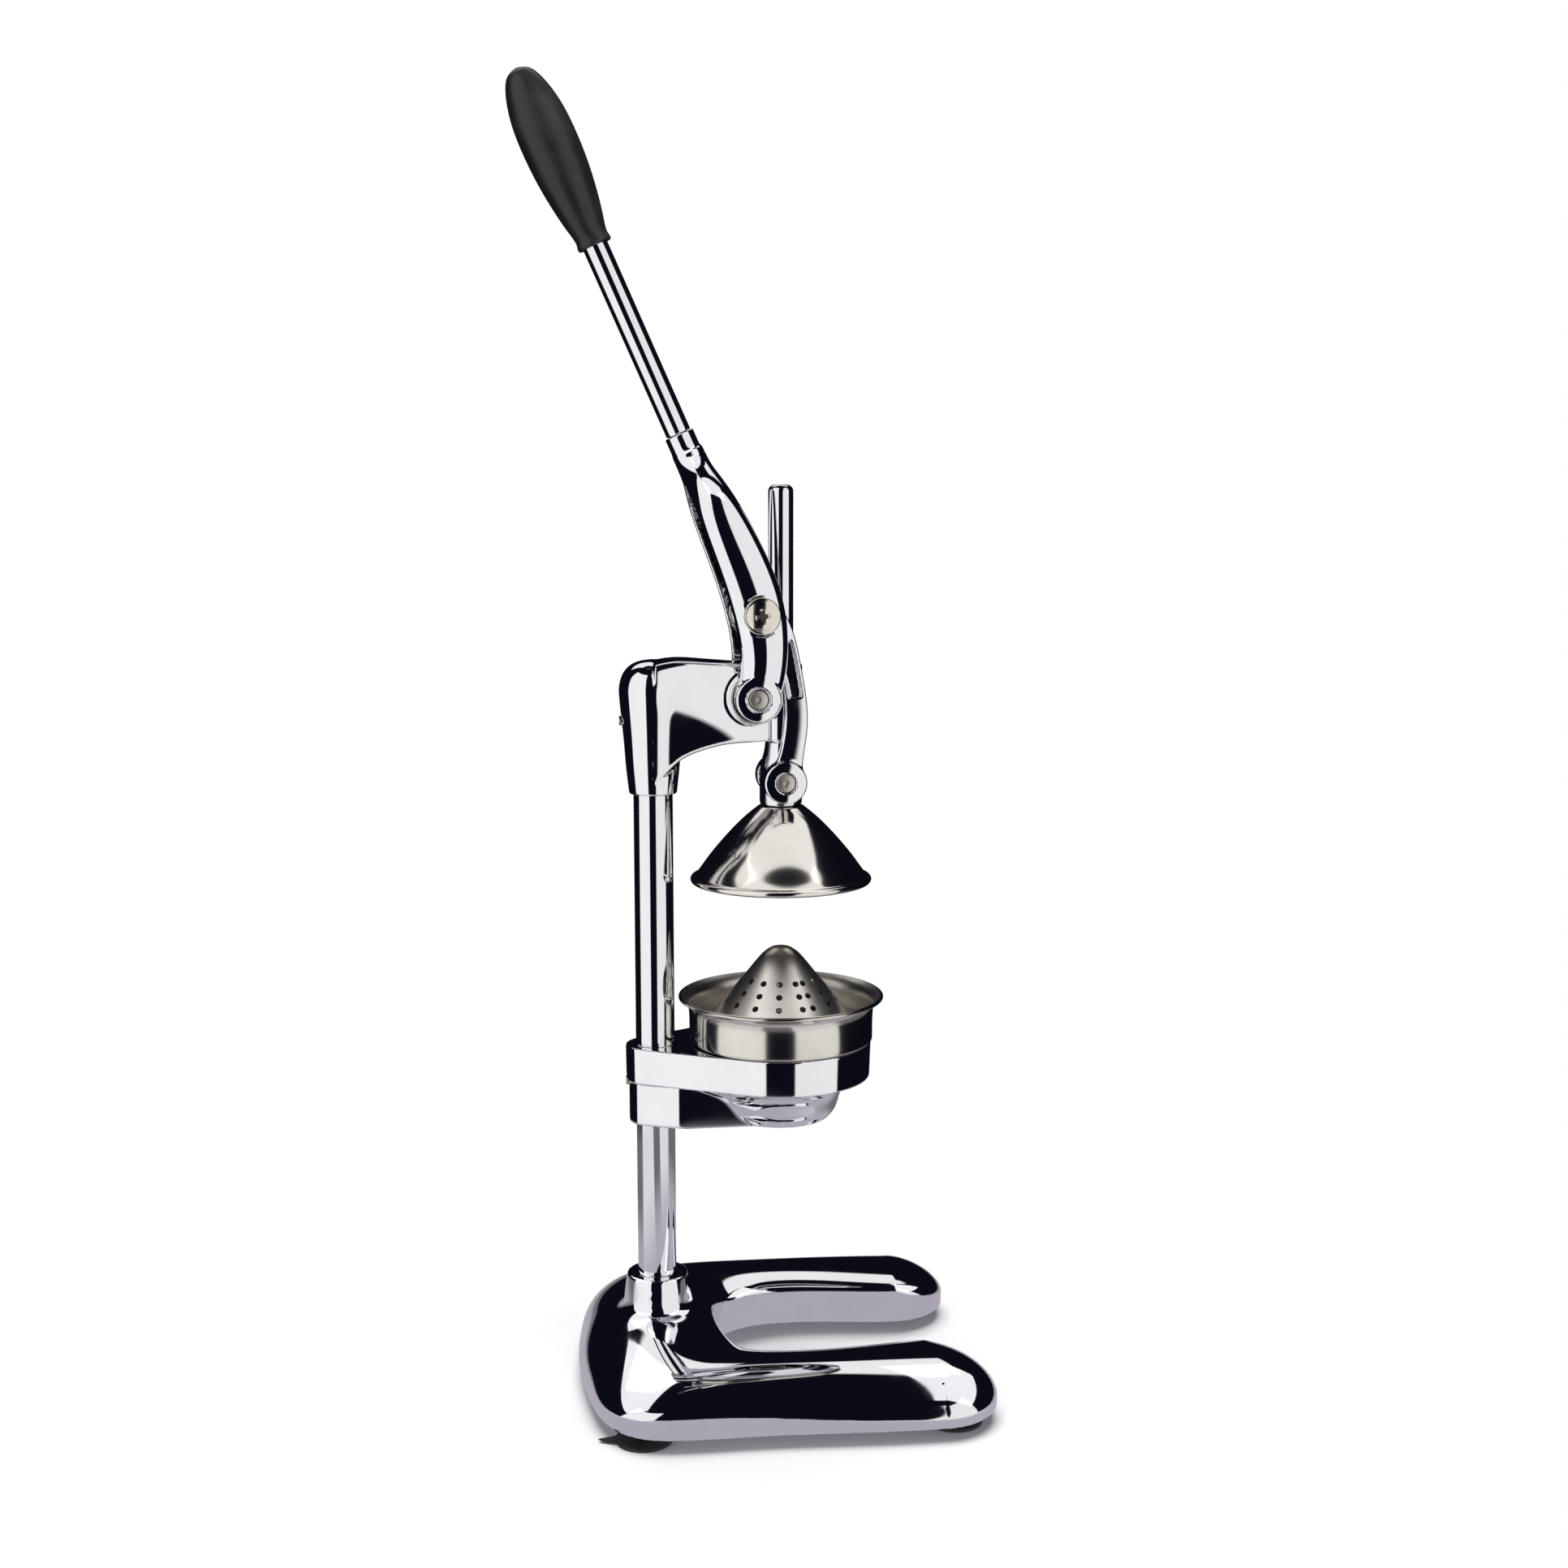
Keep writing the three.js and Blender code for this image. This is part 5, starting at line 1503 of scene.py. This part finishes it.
# The neck's wall is this much thicker than the dome's
neck_extra_wall = 3
hollow_fillet, hollow_edge, base_foot_edge = 6, 1.5, 2.4
boss_cover, base_boss_fillet, column_seat_edge = 1, 2, 1.2
skirt_start = 0.12
column_boss_radius, column_boss_rise = 17, 7.5
column_seat_rise = 14
bolt_bore = 4.3
post_radius = 8
stud_hole = 3.3
stud_hole_top = 20.4
foot_front_inset, foot_back_inset, foot_side_inset = 25, 32, 27.5
feet_front, feet_back = base_front - foot_front_inset, foot_back_inset - base_back
feet_side = base_half_width - foot_side_inset
foot_places = [(x, y) for x in (feet_front, feet_back) for y in (-feet_side, feet_side)]


def section_at(x, y):
    place = np.column_stack([x.ravel(), np.abs(y).ravel()])
    share = np.empty(len(place))
    across = outer_edge - inner_edge
    for first in range(0, len(place), 20000):
        some = place[first:first + 20000]
        off = some[:, None] - crest_line[None]
        side = off[..., 0] * across[:, 1] - off[..., 1] * across[:, 0]
        # The side is positive ahead of a section's line and negative behind it
        ahead = np.argmax(np.pad(side < 0, ((0, 0), (0, 1)), constant_values=True), axis=1)
        last = np.clip(ahead - 1, 0, plan_steps - 1)
        rows = np.arange(len(some))
        low, high = side[rows, last], side[rows, last + 1]
        share[first:first + 20000] = last + np.clip(low / np.where(low == high, 1, low - high), 0, 1)
    stations = np.arange(plan_steps + 1)
    lines = np.hstack([crest_line, outer_edge, inner_edge])
    read = [np.interp(share, stations, column) for column in lines.T]
    return share / plan_steps, place, np.array(read).T


def plan_of(x, y):
    """Where each place lies on its section: how far from the crest to the edge, how long that
    way is, how much the section is the gap's instead of the outer edge's, and how far along the
    leg it stands."""
    share, place, read = section_at(x, y)
    crest, outer, inner = read[:, 0:2], read[:, 2:4], read[:, 4:6]
    off = place - crest
    by_outer = (off * (outer - crest)).sum(axis=1) > 0
    edge = np.where(by_outer[:, None], outer, inner)
    reach = np.linalg.norm(edge - crest, axis=1)
    from_crest = np.linalg.norm(off, axis=1) / reach
    # Round the tip every section starts at the lobe's middle, and turns from one edge to the other
    turn = np.zeros(len(place))
    in_lobe = place[:, 0] > lobe_at[0]
    lobe_off = place - np.array(lobe_at)
    turn[in_lobe] = 0.5 - np.arctan2(lobe_off[in_lobe, 1], lobe_off[in_lobe, 0]) / math.pi
    from_crest = np.where(in_lobe, np.linalg.norm(lobe_off, axis=1) / lobe_radius, from_crest)
    reach = np.where(in_lobe, lobe_radius, reach)
    blend = np.where(in_lobe, turn**3, np.where(by_outer, 0.0, 1.0))
    return from_crest, reach, blend, share


def dome_field(x, y, z):
    shape = np.broadcast(x, y).shape
    plan = plan_of(*(np.broadcast_to(v, shape) for v in (x, y)))
    from_crest, reach, blend, share = (v.reshape(shape) for v in plan)
    leg = np.clip(share / 0.5, 0, 1)
    leg = leg * leg * (3 - 2 * leg)
    top = crest_back + (crest_leg - crest_back) * leg + (crest_tip - crest_leg) * share**4
    top = base_foot + top
    wall = gap_wall_back + (gap_wall_leg - gap_wall_back) * leg
    swelling = np.sin(math.pi * np.clip((share - skirt_start) / (1 - skirt_start), 0, 1)) ** 2
    skirt = lip_height + leg_lip_rise * swelling
    lip = base_foot + skirt + (wall - skirt) * blend
    power = outer_power + (inner_power - outer_power) * blend
    up = np.maximum(z - lip, 0) / (top - lip)
    level = from_crest**power + up**power - 1
    steep_out = power * from_crest ** (power - 1) / reach
    steep_up = power * up ** (power - 1) / (top - lip)
    return level / np.maximum(np.sqrt(steep_out**2 + steep_up**2), 1 / reach)


def base_field(x, y, z):
    dome = dome_field(x, y, z)
    neck = rod(x, y, column_axis, 0) - read_line(neck_line, z)
    neck = within(neck, z - neck_top, casting_edge)
    skin = joined(dome, within(neck, base_foot + neck_foot_rise - z, 1), neck_fillet)
    hollow = joined(dome, neck + neck_extra_wall, hollow_fillet) + base_wall
    body = without(skin, hollow, hollow_edge)
    boss = rod(x, y, column_axis, column_boss_radius)
    boss = within(boss, base_foot + column_boss_rise - z, 1)
    for place in foot_places:
        boss = np.minimum(boss, rod(x, y, place, post_radius))
    # The boss and the posts end a little under the skin
    body = joined(body, within(boss, skin + boss_cover, 1), base_boss_fillet)
    body = within(body, base_foot - z, base_foot_edge)
    column_seat = np.maximum(rod(x, y, column_axis, column_bore), base_foot + column_seat_rise - z)
    body = without(body, column_seat, column_seat_edge)
    body = without(body, rod(x, y, column_axis, bolt_bore), bore_edge)
    for place in foot_places:
        body = without(body, np.maximum(rod(x, y, place, stud_hole), z - stud_hole_top), bore_edge)
    return body


def build_base():
    low = (-base_back, -base_half_width, base_foot)
    high = (base_front, base_half_width, neck_top)
    dress(cast("base", base_field, low, high, base_pitch), "base_casting")


build_base()

# %% [markdown]
# The pins, washers, screws and studs are turned pieces too. Each is one short profile round an
# upright, a cross or a lengthwise axis. Pin ends are slightly domed, so they catch a highlight
# instead of going flat grey.

# %% Pins and washers
pin_radius = 5.3
pin_swell, pin_edge = 0.25, 0.7
pin_dimple, pin_dimple_depth = 1.7, 1.5
foot_pin_reach = 22
foot_pin_chamfer = 0.4
# Each washer: its inner and outer radius. The thrust rings also have their near and far faces.
thrust_ring = (5.6, 14, 18.5, 19.3)
bolt_ring = (4.3, 9)
bell_ring = (5.3, 10)


def mm_profile(points):
    return [(r * MM, h * MM) for r, h in points]


def domed(radius, top, swell, edge):
    reach = radius - edge
    crown = [(reach * share, top - swell * share**2) for share in np.linspace(0, 1, 14)]
    turn = arc((reach, top - swell - edge), edge, math.pi / 2 - 0.15, 0, 6)
    return [*crown, *turn][::-1]


def turned(name, points, place, *nodes, turn_steps=64, closed=False, brushed=False):
    piece = revolve(name, mm_profile(points), place, turn_steps=turn_steps, closed=closed)
    if brushed:
        mark(piece, "brushed", np.ones(len(piece.data.vertices)))
    dress(piece, *nodes)


def pin_end(top):
    crown = domed(pin_radius, top, pin_swell, pin_edge)
    return [
        *(point for point in crown if point[0] > pin_dimple + 0.5),
        (pin_dimple + 0.35, top - 0.05), (pin_dimple, top - 0.4), (pin_dimple, top - pin_dimple_depth),
        (0, top - pin_dimple_depth - 0.1),
    ]


def build_pivot_pin():
    end = pin_end(half_of("pivot_pin").y / MM)
    other = [(r, -h) for r, h in end[::-1]]
    turned("main_pin", [*other, *end], cross_axis(pivot), "pivot_pin", brushed=True)


def build_link_pins():
    for side, node in ((-1, "link_pin_left"), (1, "link_pin_right")):
        points = [
            (0, link_inner), (pin_radius - foot_pin_chamfer, link_inner),
            (pin_radius, link_inner + foot_pin_chamfer), *pin_end(foot_pin_reach),
        ]
        name = node.replace("link_pin", "foot_pin")
        turned(name, points, cross_axis(link_foot, side), node, brushed=True)


def flat_ring(inner, outer, low, high, edge=0.25):
    return [
        (inner + edge, low), (outer - edge, low), (outer, low + edge), (outer, high - edge),
        (outer - edge, high), (inner + edge, high), (inner, high - edge), (inner, low + edge),
    ]


def build_washers():
    for side, node in ((-1, "pivot_washer_left"), (1, "pivot_washer_right")):
        name = node.replace("pivot_washer", "thrust_ring")
        turned(name, flat_ring(*thrust_ring), cross_axis(pivot, side), node, closed=True)
    ring = flat_ring(*bolt_ring, *heights_of("column_washer"))
    turned("bolt_ring", ring, axis_at(column_x), "column_washer", closed=True)
    ring = flat_ring(*bell_ring, *heights_of("bell_washer"))
    turned("bell_ring", ring, axis_at(press_x), "bell_washer", closed=True)


build_pivot_pin()
build_link_pins()
build_washers()

# %% [markdown]
# Hexagons are cut from bar and chamfered: the corners of a nut or a bolt head fall away on a
# cone. A revolve whose radius changes with the angle gives that directly: at each height the
# radius is the smaller of the hexagon's and the cone's.

# %% Hexagon pieces
hex_turns = 96
nut_across, nut_chamfer = 17, 0.9
nut_bore, nut_mouth, nut_face = 5.3, 5.8, 8.3
bolt_across, bolt_chamfer = 13, 0.8
bolt_face, bolt_head, bolt_radius = 6.2, 4.6, 4


def hexagon(angle, across):
    sector = math.pi / 3
    return across / 2 / math.cos((angle + sector / 2) % sector - sector / 2)


def hex_piece(name, profile, place, *nodes):
    """Each step of the profile is (radius limit, across the flats or None, height)."""
    verts, rings = [], []
    for limit, across, height in profile:
        rings.append(range(len(verts), len(verts) + hex_turns))
        for step in range(hex_turns):
            angle = 2 * math.pi * step / hex_turns
            radius = min(limit, hexagon(angle, across)) if across else limit
            corner = Vector((radius * math.cos(angle), radius * math.sin(angle), height))
            verts.append(place @ (corner * MM))
    pairs = list(zip(rings, rings[1:]))
    if profile[0][0]:
        pairs.append((rings[-1], rings[0]))
    faces = [face for low, high in pairs for face in faces_between(low, high, hex_turns)]
    piece = new_piece(name, verts, faces)
    point_faces_out(piece, weld=1e-7)
    mark(piece, "along", np.zeros(len(piece.data.vertices)))
    shade(piece, 25)
    dress(piece, *nodes)


def build_nut_and_bolt():
    low, high = heights_of("bell_nut")
    corner = nut_across / math.sqrt(3)
    nut = [
        (nut_bore, None, low + 0.5), (nut_mouth, None, low), (nut_face, None, low),
        (corner, nut_across, low + nut_chamfer), (corner, nut_across, high - nut_chamfer),
        (nut_face, None, high), (nut_mouth, None, high), (nut_bore, None, high - 0.5),
    ]
    hex_piece("bell_hex_nut", nut, axis_at(press_x), "bell_nut")
    low, high = heights_of("column_bolt")
    corner = bolt_across / math.sqrt(3)
    bolt = [
        (0, None, low), (bolt_face, None, low), (corner, bolt_across, low + bolt_chamfer),
        (corner, bolt_across, low + bolt_head), (bolt_radius, None, low + bolt_head),
        (bolt_radius, None, high - 0.6), (bolt_radius - 0.6, None, high), (0, None, high),
    ]
    hex_piece("hex_bolt", bolt, axis_at(column_x), "column_bolt")


build_nut_and_bolt()

# %% [markdown]
# The set screws at the back of the two sleeves have a hexagon socket. They are turned pieces
# laid along the length of the press, with the socket as the inner end of the profile.

# %% Set screws
set_screw_radius = 2.8
set_screw_tip = 1.4
set_screw_socket = 2.6
socket_mouth, socket_corner, socket_depth = 1.7, 1.6, 2


def build_set_screw(name, node):
    low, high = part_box(node)
    height = (low.z + high.z) / 2
    place = Matrix.Translation((column_x, 0, height)) @ Matrix.Rotation(-math.pi / 2, 4, "Y")
    near, far = (column_x - high.x) / MM, (column_x - low.x) / MM
    profile = [
        (0, None, near), (set_screw_tip, None, near), (set_screw_radius, None, near + set_screw_tip),
        (set_screw_radius, None, far - 0.4), (set_screw_radius - 0.4, None, far),
        (socket_mouth, None, far), (socket_corner, set_screw_socket, far - 0.2),
        (socket_corner, set_screw_socket, far - socket_depth), (0, None, far - socket_depth - 0.4),
    ]
    hex_piece(name, profile, place, node)


build_set_screw("head_grub_screw", "head_set_screw")
build_set_screw("holder_grub_screw", "holder_set_screw")

# %% [markdown]
# A suction foot is a thick rubber cup: a lip that spreads on the table, a hollow underneath, a
# neck that fits under the casting, and a small tab to peel it off. The cup is turned and the tab
# is a rounded tongue. Two solids that touch are made one with a boolean, so no face is left
# inside. The four feet are alike, so one tree of nodes sets a copy on each foot's place.

# %% One suction foot
foot_radius = 16
foot_cup_outline = [
    (0, 1.8), (11.0, 1.8), (13.4, 0.02), (15.6, 0.0), (16.0, 0.7), (15.7, 1.9), (12.6, 3.1), (8.6, 4.6),
    (7.4, 6.0), (7.4, 7.7), (0, 7.7),
]
tab_start = 13.2
tab_end = 25
tab_half_width = 5.5
tab_thickness = 1.4
tab_low = 0.3
tab_lift = 0.9
tab_sides = 12


def foot_cup():
    outline = mm_profile(soften(foot_cup_outline, 0.9))
    return revolve("foot_cup", outline, Matrix.Identity(4), turn_steps=72)


def foot_tab():
    verts, rings = [], []
    for out in np.linspace(tab_start, tab_end, 16):
        half = tab_half_width * max(1 - (out - tab_start) / (tab_end - tab_start), 0.02) ** 0.8
        lift = tab_lift * max(0.0, (out - foot_radius) / (tab_end - foot_radius)) ** 2
        middle = tab_low + tab_thickness / 2 + lift
        rings.append(range(len(verts), len(verts) + tab_sides))
        for step in range(tab_sides):
            angle = 2 * math.pi * step / tab_sides
            aside, up = math.cos(angle), math.sin(angle)
            aside = math.copysign(abs(aside) ** 0.5, aside) * half
            up = math.copysign(abs(up) ** 0.7, up) * tab_thickness / 2 * min(1, half / 1.2)
            verts.append((-out * MM, aside * MM, (middle + up) * MM))
    faces = [face for low, high in zip(rings, rings[1:]) for face in faces_between(low, high, tab_sides)]
    tab = new_piece("foot_tab", verts, [*faces, rings[0], rings[-1]])
    point_faces_out(tab)
    return tab


def finished(name, piece, *tools):
    """The piece as its modifiers leave it. The piece itself and its tools are removed."""
    evaluated = piece.evaluated_get(bpy.context.evaluated_depsgraph_get())
    made = bpy.data.objects.new(name, bpy.data.meshes.new_from_object(evaluated))
    bpy.context.scene.collection.objects.link(made)
    for used in (piece, *tools):
        bpy.data.objects.remove(used)
    return made


def boolean(name, body, tool, operation, use_self=False):
    modifier = body.modifiers.new("boolean", "BOOLEAN")
    modifier.operation = operation
    modifier.solver = "EXACT"
    modifier.use_self = use_self
    modifier.object = tool
    return finished(name, body, tool)


one_foot = boolean("one_foot", foot_cup(), foot_tab(), "UNION")
print("one foot:", len(one_foot.data.polygons), "faces")

# %% [markdown]
# Geometry nodes are good at copies: they lay points down, put the same piece on each and make
# the copies real at the end. Tree is a tree of such nodes with named inputs, so that the sizes
# come in from outside and are set before the tree runs. The node maths from the finishes works
# in it too. A foot's place is its end of the base and its side, in one tree for all four.

# %% Copies of one piece on many places, as a tree of nodes
class Tree(Nodes):
    def __init__(self, name, **inputs):
        super().__init__(bpy.data.node_groups.new(name, "GeometryNodeTree"))
        new_socket = self.tree.interface.new_socket
        new_socket("Geometry", in_out="INPUT", socket_type="NodeSocketGeometry")
        self.sockets = {}
        for label, kind in inputs.items():
            socket = new_socket(label, in_out="INPUT", socket_type="NodeSocket" + kind)
            self.sockets[label] = socket.identifier
        new_socket("Geometry", in_out="OUTPUT", socket_type="NodeSocketGeometry")
        self.entry = self.node("NodeGroupInput")

    def given(self, label):
        return self.take(self.entry, label)

    def copies(self, label, points, **values):
        info = self.node("GeometryNodeObjectInfo", {"Object": self.given(label), "As Instance": True})
        values = {"Points": points, "Instance": self.take(info, "Geometry"), **values}
        return self.node("GeometryNodeInstanceOnPoints", values)

    def end(self, geometry, material):
        real = self.node("GeometryNodeRealizeInstances", {0: geometry})
        painted = self.node("GeometryNodeSetMaterial", {"Geometry": real, "Material": material})
        self.node("NodeGroupOutput", {0: painted})

    def run(self, piece, name, **values):
        modifier = piece.modifiers.new(self.tree.name, "NODES")
        modifier.node_group = self.tree
        for label, value in values.items():
            modifier[self.sockets[label]] = value
        tools = [value for value in values.values() if isinstance(value, bpy.types.Object)]
        return finished(name, piece, *tools)


def foot_tree(material):
    sizes = dict.fromkeys(("Front", "Back", "Side", "Middle"), "Float")
    tree = Tree("feet_under_the_base", Foot="Object", **sizes)
    join = tree.node("GeometryNodeJoinGeometry")
    for end in ("Front", "Back"):
        for side in (-1, 1):
            along, across = tree.given("Middle") + tree.given(end), tree.given("Side") * side
            place = tree.node("CombineXYZ", {"X": along, "Y": across})
            point = tree.node("GeometryNodeMeshLine", {"Count": 1, "Start Location": place})
            tree.put(join.inputs[0], tree.copies("Foot", point))
    tree.end(join, material)
    return tree


foot_corners = [f"{end}_{side}" for end in ("front", "back") for side in ("left", "right")]


def build_feet():
    carrier = new_piece("feet_carrier", [(0, 0, 0)], [])
    feet = foot_tree(paints["black_rubber"]).run(
        carrier, "suction_feet", Foot=one_foot, Front=feet_front * MM, Back=feet_back * MM,
        Side=feet_side * MM, Middle=press_x,
    )
    shade(feet, 40)
    dress(feet, *("suction_foot_" + corner for corner in foot_corners))


build_feet()

# %% [markdown]
# Each foot hangs on a short stud, which shows only when the press is turned over. Real studs are
# threaded. Here they are plain bars with softened ends, one size for all four corners.

# %% The feet's studs
stud_radius = 3


def build_studs():
    for corner in foot_corners:
        node = "foot_stud_" + corner
        low, high = heights_of(node)
        points = soften([(0, low), (stud_radius, low), (stud_radius, high), (0, high)], 0.5)
        place = axis_at(middle_of(node).x, middle_of(node).y)
        turned("stud_" + corner, points, place, node, turn_steps=40)


build_studs()

# %% [markdown]
# The two screws that join the fork to the link arms have a low domed head with a cross recess.
# The dome matters in the picture: a flat head would mirror one thing only, a domed one shows the
# white panel, the dark gap and the next panel side by side.

# %% The link screws
screw_head_radius = 10.2
screw_head_seat = 28.2
screw_head_top = 32.2
screw_shank_radius = 4
screw_gap = 0.3
screw_edge = 1.1
screw_swell = 2.4
cross_length, cross_width, cross_depth = 11.2, 2.8, 3.0
cross_shrink = 0.55
cross_turn = 8


def cross_tool(place):
    """Two crossed wedges that narrow towards their foot."""
    verts, faces = [], []
    for turn in (cross_turn, cross_turn + 90):
        first = len(verts)
        rotate = Matrix.Rotation(math.radians(turn), 3, "Z")
        for height, shrink in ((screw_head_top + 2, 1.0), (screw_head_top - cross_depth, cross_shrink)):
            long, wide = cross_length / 2 * shrink, cross_width / 2 * (0.5 + shrink / 2)
            for x, y in ((-long, -wide), (long, -wide), (long, wide), (-long, wide)):
                verts.append(place @ (rotate @ Vector((x, y, height)) * MM))
        upper, lower = range(first, first + 4), range(first + 4, first + 8)
        faces += [upper[::-1], lower, *faces_between(upper, lower, 4)]
    tool = new_piece("cross_tool", verts, faces)
    point_faces_out(tool)
    return tool


def build_link_screws():
    start = link_inner + screw_gap
    points = [
        (0, start), (screw_shank_radius - 0.4, start), (screw_shank_radius, start + 0.4),
        (screw_shank_radius, screw_head_seat), (screw_head_radius - 0.3, screw_head_seat),
        (screw_head_radius, screw_head_seat + 0.3),
        *domed(screw_head_radius, screw_head_top, screw_swell, screw_edge),
    ]
    for side, node in ((-1, "link_screw_left"), (1, "link_screw_right")):
        place = cross_axis(link_top, side)
        blank = revolve("screw_blank", mm_profile(points), place)
        name = node.replace("link_screw", "cross_screw")
        screw = boolean(name, blank, cross_tool(place), "DIFFERENCE", use_self=True)
        shade(screw, 30)
        dress(screw, node)


build_link_screws()

# %% [markdown]
# The strainer is a sheet cone with a flat flange, pierced round its lower half. The holes repeat
# in rows and columns, so a tree of nodes sets one small punch on a grid of places that lie on the
# cone, and a boolean in the same tree takes all the punches out of the sheet at once.

# %% The strainer cone
cone_wall = 1.2
cone_height = 51.5
cone_radius = 45.5
cone_flange_radius = 49.8
hole_radius = 1.85
hole_columns = 15
hole_rows = 3
hole_turn = math.radians(24.86)
hole_first_turn = math.radians(-63)
hole_first_rise = 21.3
hole_pitch = 6.15
cone_shares = [(0.989, 0.086), (0.791, 0.312), (0.429, 0.701), (0.22, 0.921), (0.121, 0.982)]
nose_radius, nose_height = 0.121 * cone_radius, 0.018 * cone_height
nose_steps = (0.85, 0.6, 0.3, 0)
flange_round = 1.6
punch_outside, punch_inside = 2.5, 3.5


def cone_profile():
    top = heights_of("strainer_cone")[1]
    foot = top - cone_height
    side = smooth_line(spread(cone_shares, (0, cone_radius), (foot, cone_height)), 40)
    nose = [(nose_radius * share, top - nose_height * share**2) for share in nose_steps]
    foot_turn = [(cone_flange_radius, foot), (cone_radius + 0.3, foot), side[0]]
    return foot, [*soften(foot_turn, flange_round), *side[1:], *nose]


def punch():
    points = [
        (0, -punch_inside), (hole_radius, -punch_inside), (hole_radius, punch_outside), (0, punch_outside),
    ]
    return revolve("punch", mm_profile(points), Matrix.Identity(4), turn_steps=20)


def strainer_tree(material):
    sizes = ("FirstTurn", "Turn", "Foot", "Radius", "Pitch", "Narrowing", "Lean", "Middle")
    tree = Tree("pierced_cone", Punch="Object", Columns="Int", Rows="Int", **dict.fromkeys(sizes, "Float"))
    index, columns = tree.take(tree.node("GeometryNodeInputIndex")), tree.given("Columns")
    row, column = tree.maths("FLOOR", index / columns), tree.maths("MODULO", index, columns)
    angle = column * tree.given("Turn") + tree.given("FirstTurn")
    climbed = row * tree.given("Pitch")
    radius = tree.given("Radius") - climbed * tree.given("Narrowing")
    place = tree.node("CombineXYZ", {
        "X": radius * tree.maths("COSINE", angle) + tree.given("Middle"),
        "Y": radius * tree.maths("SINE", angle),
        "Z": climbed + tree.given("Foot"),
    })
    points = tree.node("GeometryNodePoints", {"Count": columns * tree.given("Rows")})
    points = tree.node("GeometryNodeSetPosition", {"Geometry": points, "Position": place})
    turn = tree.node("CombineXYZ", {"Y": tree.given("Lean"), "Z": angle})
    tools = tree.node("GeometryNodeRealizeInstances", {0: tree.copies("Punch", points, Rotation=turn)})
    solids = {"Mesh 1": tree.given("Geometry"), "Mesh 2": tools}
    pierced = tree.node("GeometryNodeMeshBoolean", solids, operation="DIFFERENCE", solver="EXACT")
    tree.end(tree.take(pierced, "Mesh"), material)
    return tree


def build_strainer():
    foot, face = cone_profile()
    wall = sheet_profile(mm_profile(face), cone_wall * MM)
    # The inner face has to start on the axis, or the cone would have a pinhole in its nose
    wall[len(face)] = np.array((0.0, wall[len(face)][1]))
    sheet = revolve("cone_blank", wall, axis_at(press_x), turn_steps=144, closed=True)
    radii, heights = np.array(face, float).T
    order = np.argsort(heights)
    first_row, last_row = (foot + hole_first_rise + row * hole_pitch for row in (0, hole_rows - 1))
    first, last = (np.interp(row, heights[order], radii[order]) for row in (first_row, last_row))
    narrowing = (first - last) / (last_row - first_row)
    cone = strainer_tree(paints["satin_steel"]).run(
        sheet, "strainer", Punch=punch(), Columns=hole_columns, Rows=hole_rows, Turn=hole_turn,
        FirstTurn=hole_first_turn, Foot=first_row * MM, Radius=first * MM, Pitch=hole_pitch * MM,
        Narrowing=narrowing, Lean=math.pi / 2 - math.atan(narrowing), Middle=press_x,
    )
    shade(cone, 40)
    mark(cone, "brushed", np.ones(len(cone.data.vertices)))
    dress(cone, "strainer_cone")


build_strainer()
